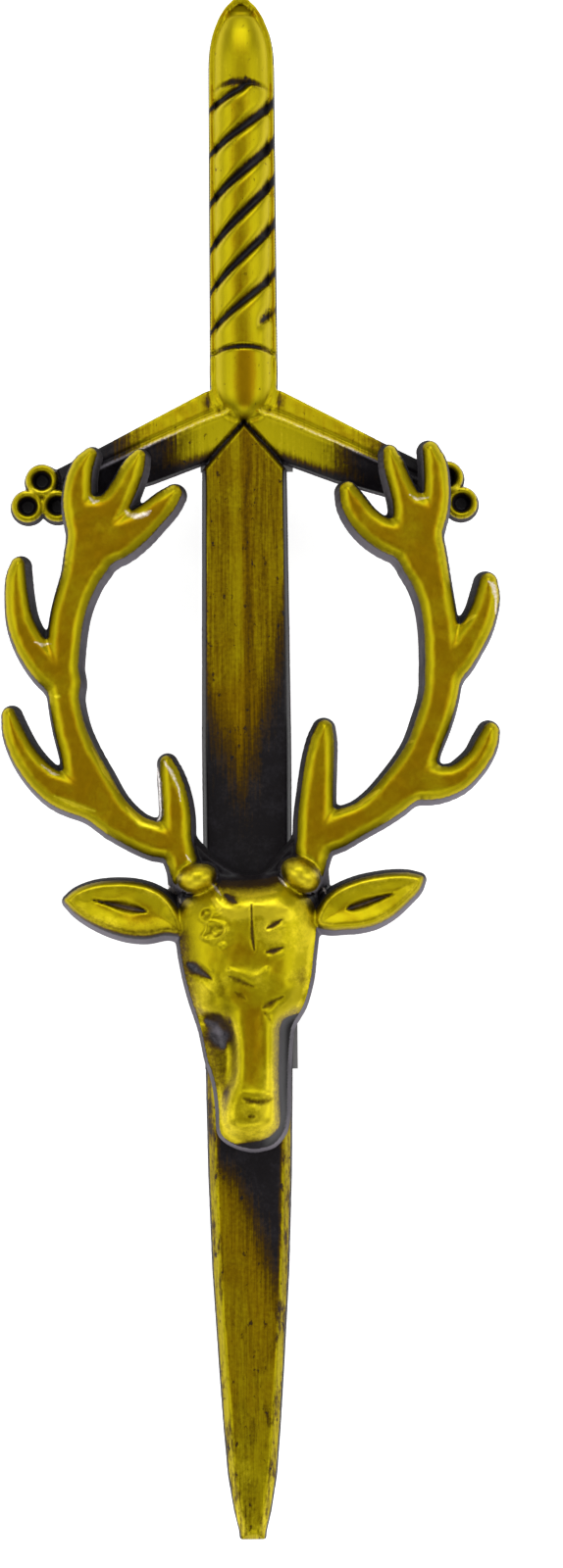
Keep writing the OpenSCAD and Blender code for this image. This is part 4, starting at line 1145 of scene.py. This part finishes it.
def stag_grey(x, y, z):
    v = y - crown_y
    hollow = 0.5*stroke(x, v, muzzle_hollow)**0.2 + 0.3*spot(x, v, -2.0, -9.45, 0.25, 0.25)
    return np.max([hollow, 0.4*stroke(x, v, left_eye), 0.42*ear_slits(x, v)], axis=0)


keep_values(stag, hollow=stag_hollow, rubbed=stag_rubbed, tone=stag_tone, bare=stag_bare,
            grey=stag_grey)
material, shader, place, normal = finish_of("rubbed_brass_stag")
hollow = place.attribute("hollow")
share = place.attribute("rubbed") - hollow.between(0.08, 0.4)*0.6
satin = place.noise(place.stretched(1, 1, 1), 0.45, 4)
tone = (0.0 - hollow).between(0, 0.2)*0.4 + place.attribute("tone") + (satin - 0.38)*1.9
steep, loss = 0.2, 0.42
# the stag's walls get a painted grey reflection where they face the blade's tip
fine = antique(tone, share, grey_sheen, steep, loss, place, normal, shader)
skin = place.node("ShaderNodeBump", {}, {"Strength": 0.3, "Distance": 0.04*MM, "Height": fine})
wire(shader, Normal=skin)
stag.data.materials.append(material)
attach(stag, "root")
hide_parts("stag_head")

# The back fitting: hinge, stem and catch of nickel-plated steel sheet and wire, soldered to the
# sword's back. It keeps the shape that it has in the CAD, so only its finish is made here.
steel_dark, steel_light = (0.30, 0.30, 0.31), (0.52, 0.52, 0.53)
material, shader, place, normal = finish_of("plated_steel")
dull = place.noise(place.stretched(1, 0.3, 1), 1.4, 4)
wire(shader, Base_Color=dull.colours(steel_dark, steel_light), Roughness=dull*0.25 + 0.2)
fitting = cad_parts["brooch_pin"]
fitting.data.materials.clear()
fitting.data.materials.append(material)

# The floor: a plain pale board that glows a little, as paper on a light table does. It lies a
# hair below the two feet of the fitting on which the pin rests.
floor_size, floor_z, floor_glow = 0.9, -0.05*MM, 0.75
floor_dark, floor_pale = (0.86, 0.86, 0.87), (0.9, 0.9, 0.9)
plane = bpy.data.meshes.new("floor")
corners = [(sx*floor_size/2, sy*floor_size/2, floor_z) for sx, sy in ((-1, -1), (1, -1), (1, 1), (-1, 1))]
plane.from_pydata(corners, [], [(0, 1, 2, 3)])
floor = bpy.data.objects.new("floor", plane)
bpy.context.scene.collection.objects.link(floor)
material, shader, place, normal = finish_of("pale_floor", 0)
grain = place.noise(place.stretched(1, 1, 1), 0.02, 2)
wire(shader, Base_Color=grain.colours(floor_dark, floor_pale))
shader.inputs["Roughness"].default_value = 0.9
shader.inputs["Emission Color"].default_value = (1, 1, 1, 1)
shader.inputs["Emission Strength"].default_value = floor_glow
plane.materials.append(material)

# Light: a pale room all round and soft boxes on four sides, the strongest over the pommel, as in
# a photographer's light tent.
room_colour, room_light, box_colour = (1, 0.97, 0.93, 1), 0.35, (0.95, 1, 0.97)
world = bpy.data.worlds.new("room")
bpy.context.scene.world = world
world.use_nodes = True
room = world.node_tree.nodes["Background"]
room.inputs["Color"].default_value = room_colour
room.inputs["Strength"].default_value = room_light
# Columns: name, place in metres, width, height, brightness of its face
boxes = [("box_top", (0.0, 0.3, 0.3), 0.4, 0.22, 2.6), ("box_left", (-0.32, 0.0, 0.28), 0.22, 0.4, 1.5),
         ("box_right", (0.32, 0.0, 0.28), 0.22, 0.4, 1.5), ("box_low", (0.0, -0.36, 0.26), 0.4, 0.2, 1.2)]
for name, position, wide, tall, bright in boxes:
    light = bpy.data.lights.new(name, "AREA")
    light.shape = "RECTANGLE"
    light.size, light.size_y, light.energy = wide, tall, bright*math.pi*wide*tall
    light.color = box_colour
    lamp = bpy.data.objects.new(name, light)
    lamp.location = position
    towards_pin = Vector((0, 0, 5*MM)) - Vector(position)
    lamp.rotation_euler = towards_pin.to_track_quat("-Z", "Y").to_euler()
    bpy.context.scene.collection.objects.link(lamp)

# Camera: straight above and half a metre from the pin, leaning a little to the blade's tip and
# turned a little about its own line of sight.
aim = Vector((2.24, -1.22, 8.3))*MM
distance, lean, roll = 500*MM, math.radians(2.3), math.radians(-0.47)
lens_px, frame_h, sensor = 7894, 1600, 36
back = Vector((0, -math.sin(lean), math.cos(lean)))
right = Vector((1, 0, 0))*math.cos(roll) + back.cross(Vector((1, 0, 0)))*math.sin(roll)
turned = Matrix((right, back.cross(right), back)).transposed().to_4x4()
camera = bpy.data.objects.new("camera", bpy.data.cameras.new("camera"))
camera.data.sensor_width = sensor
camera.data.lens = sensor*lens_px/frame_h
camera.data.clip_start = 10*MM
camera.matrix_world = Matrix.Translation(aim + back*distance) @ turned
bpy.context.scene.collection.objects.link(camera)
bpy.context.scene.camera = camera
bpy.context.scene.view_settings.view_transform = "Standard"
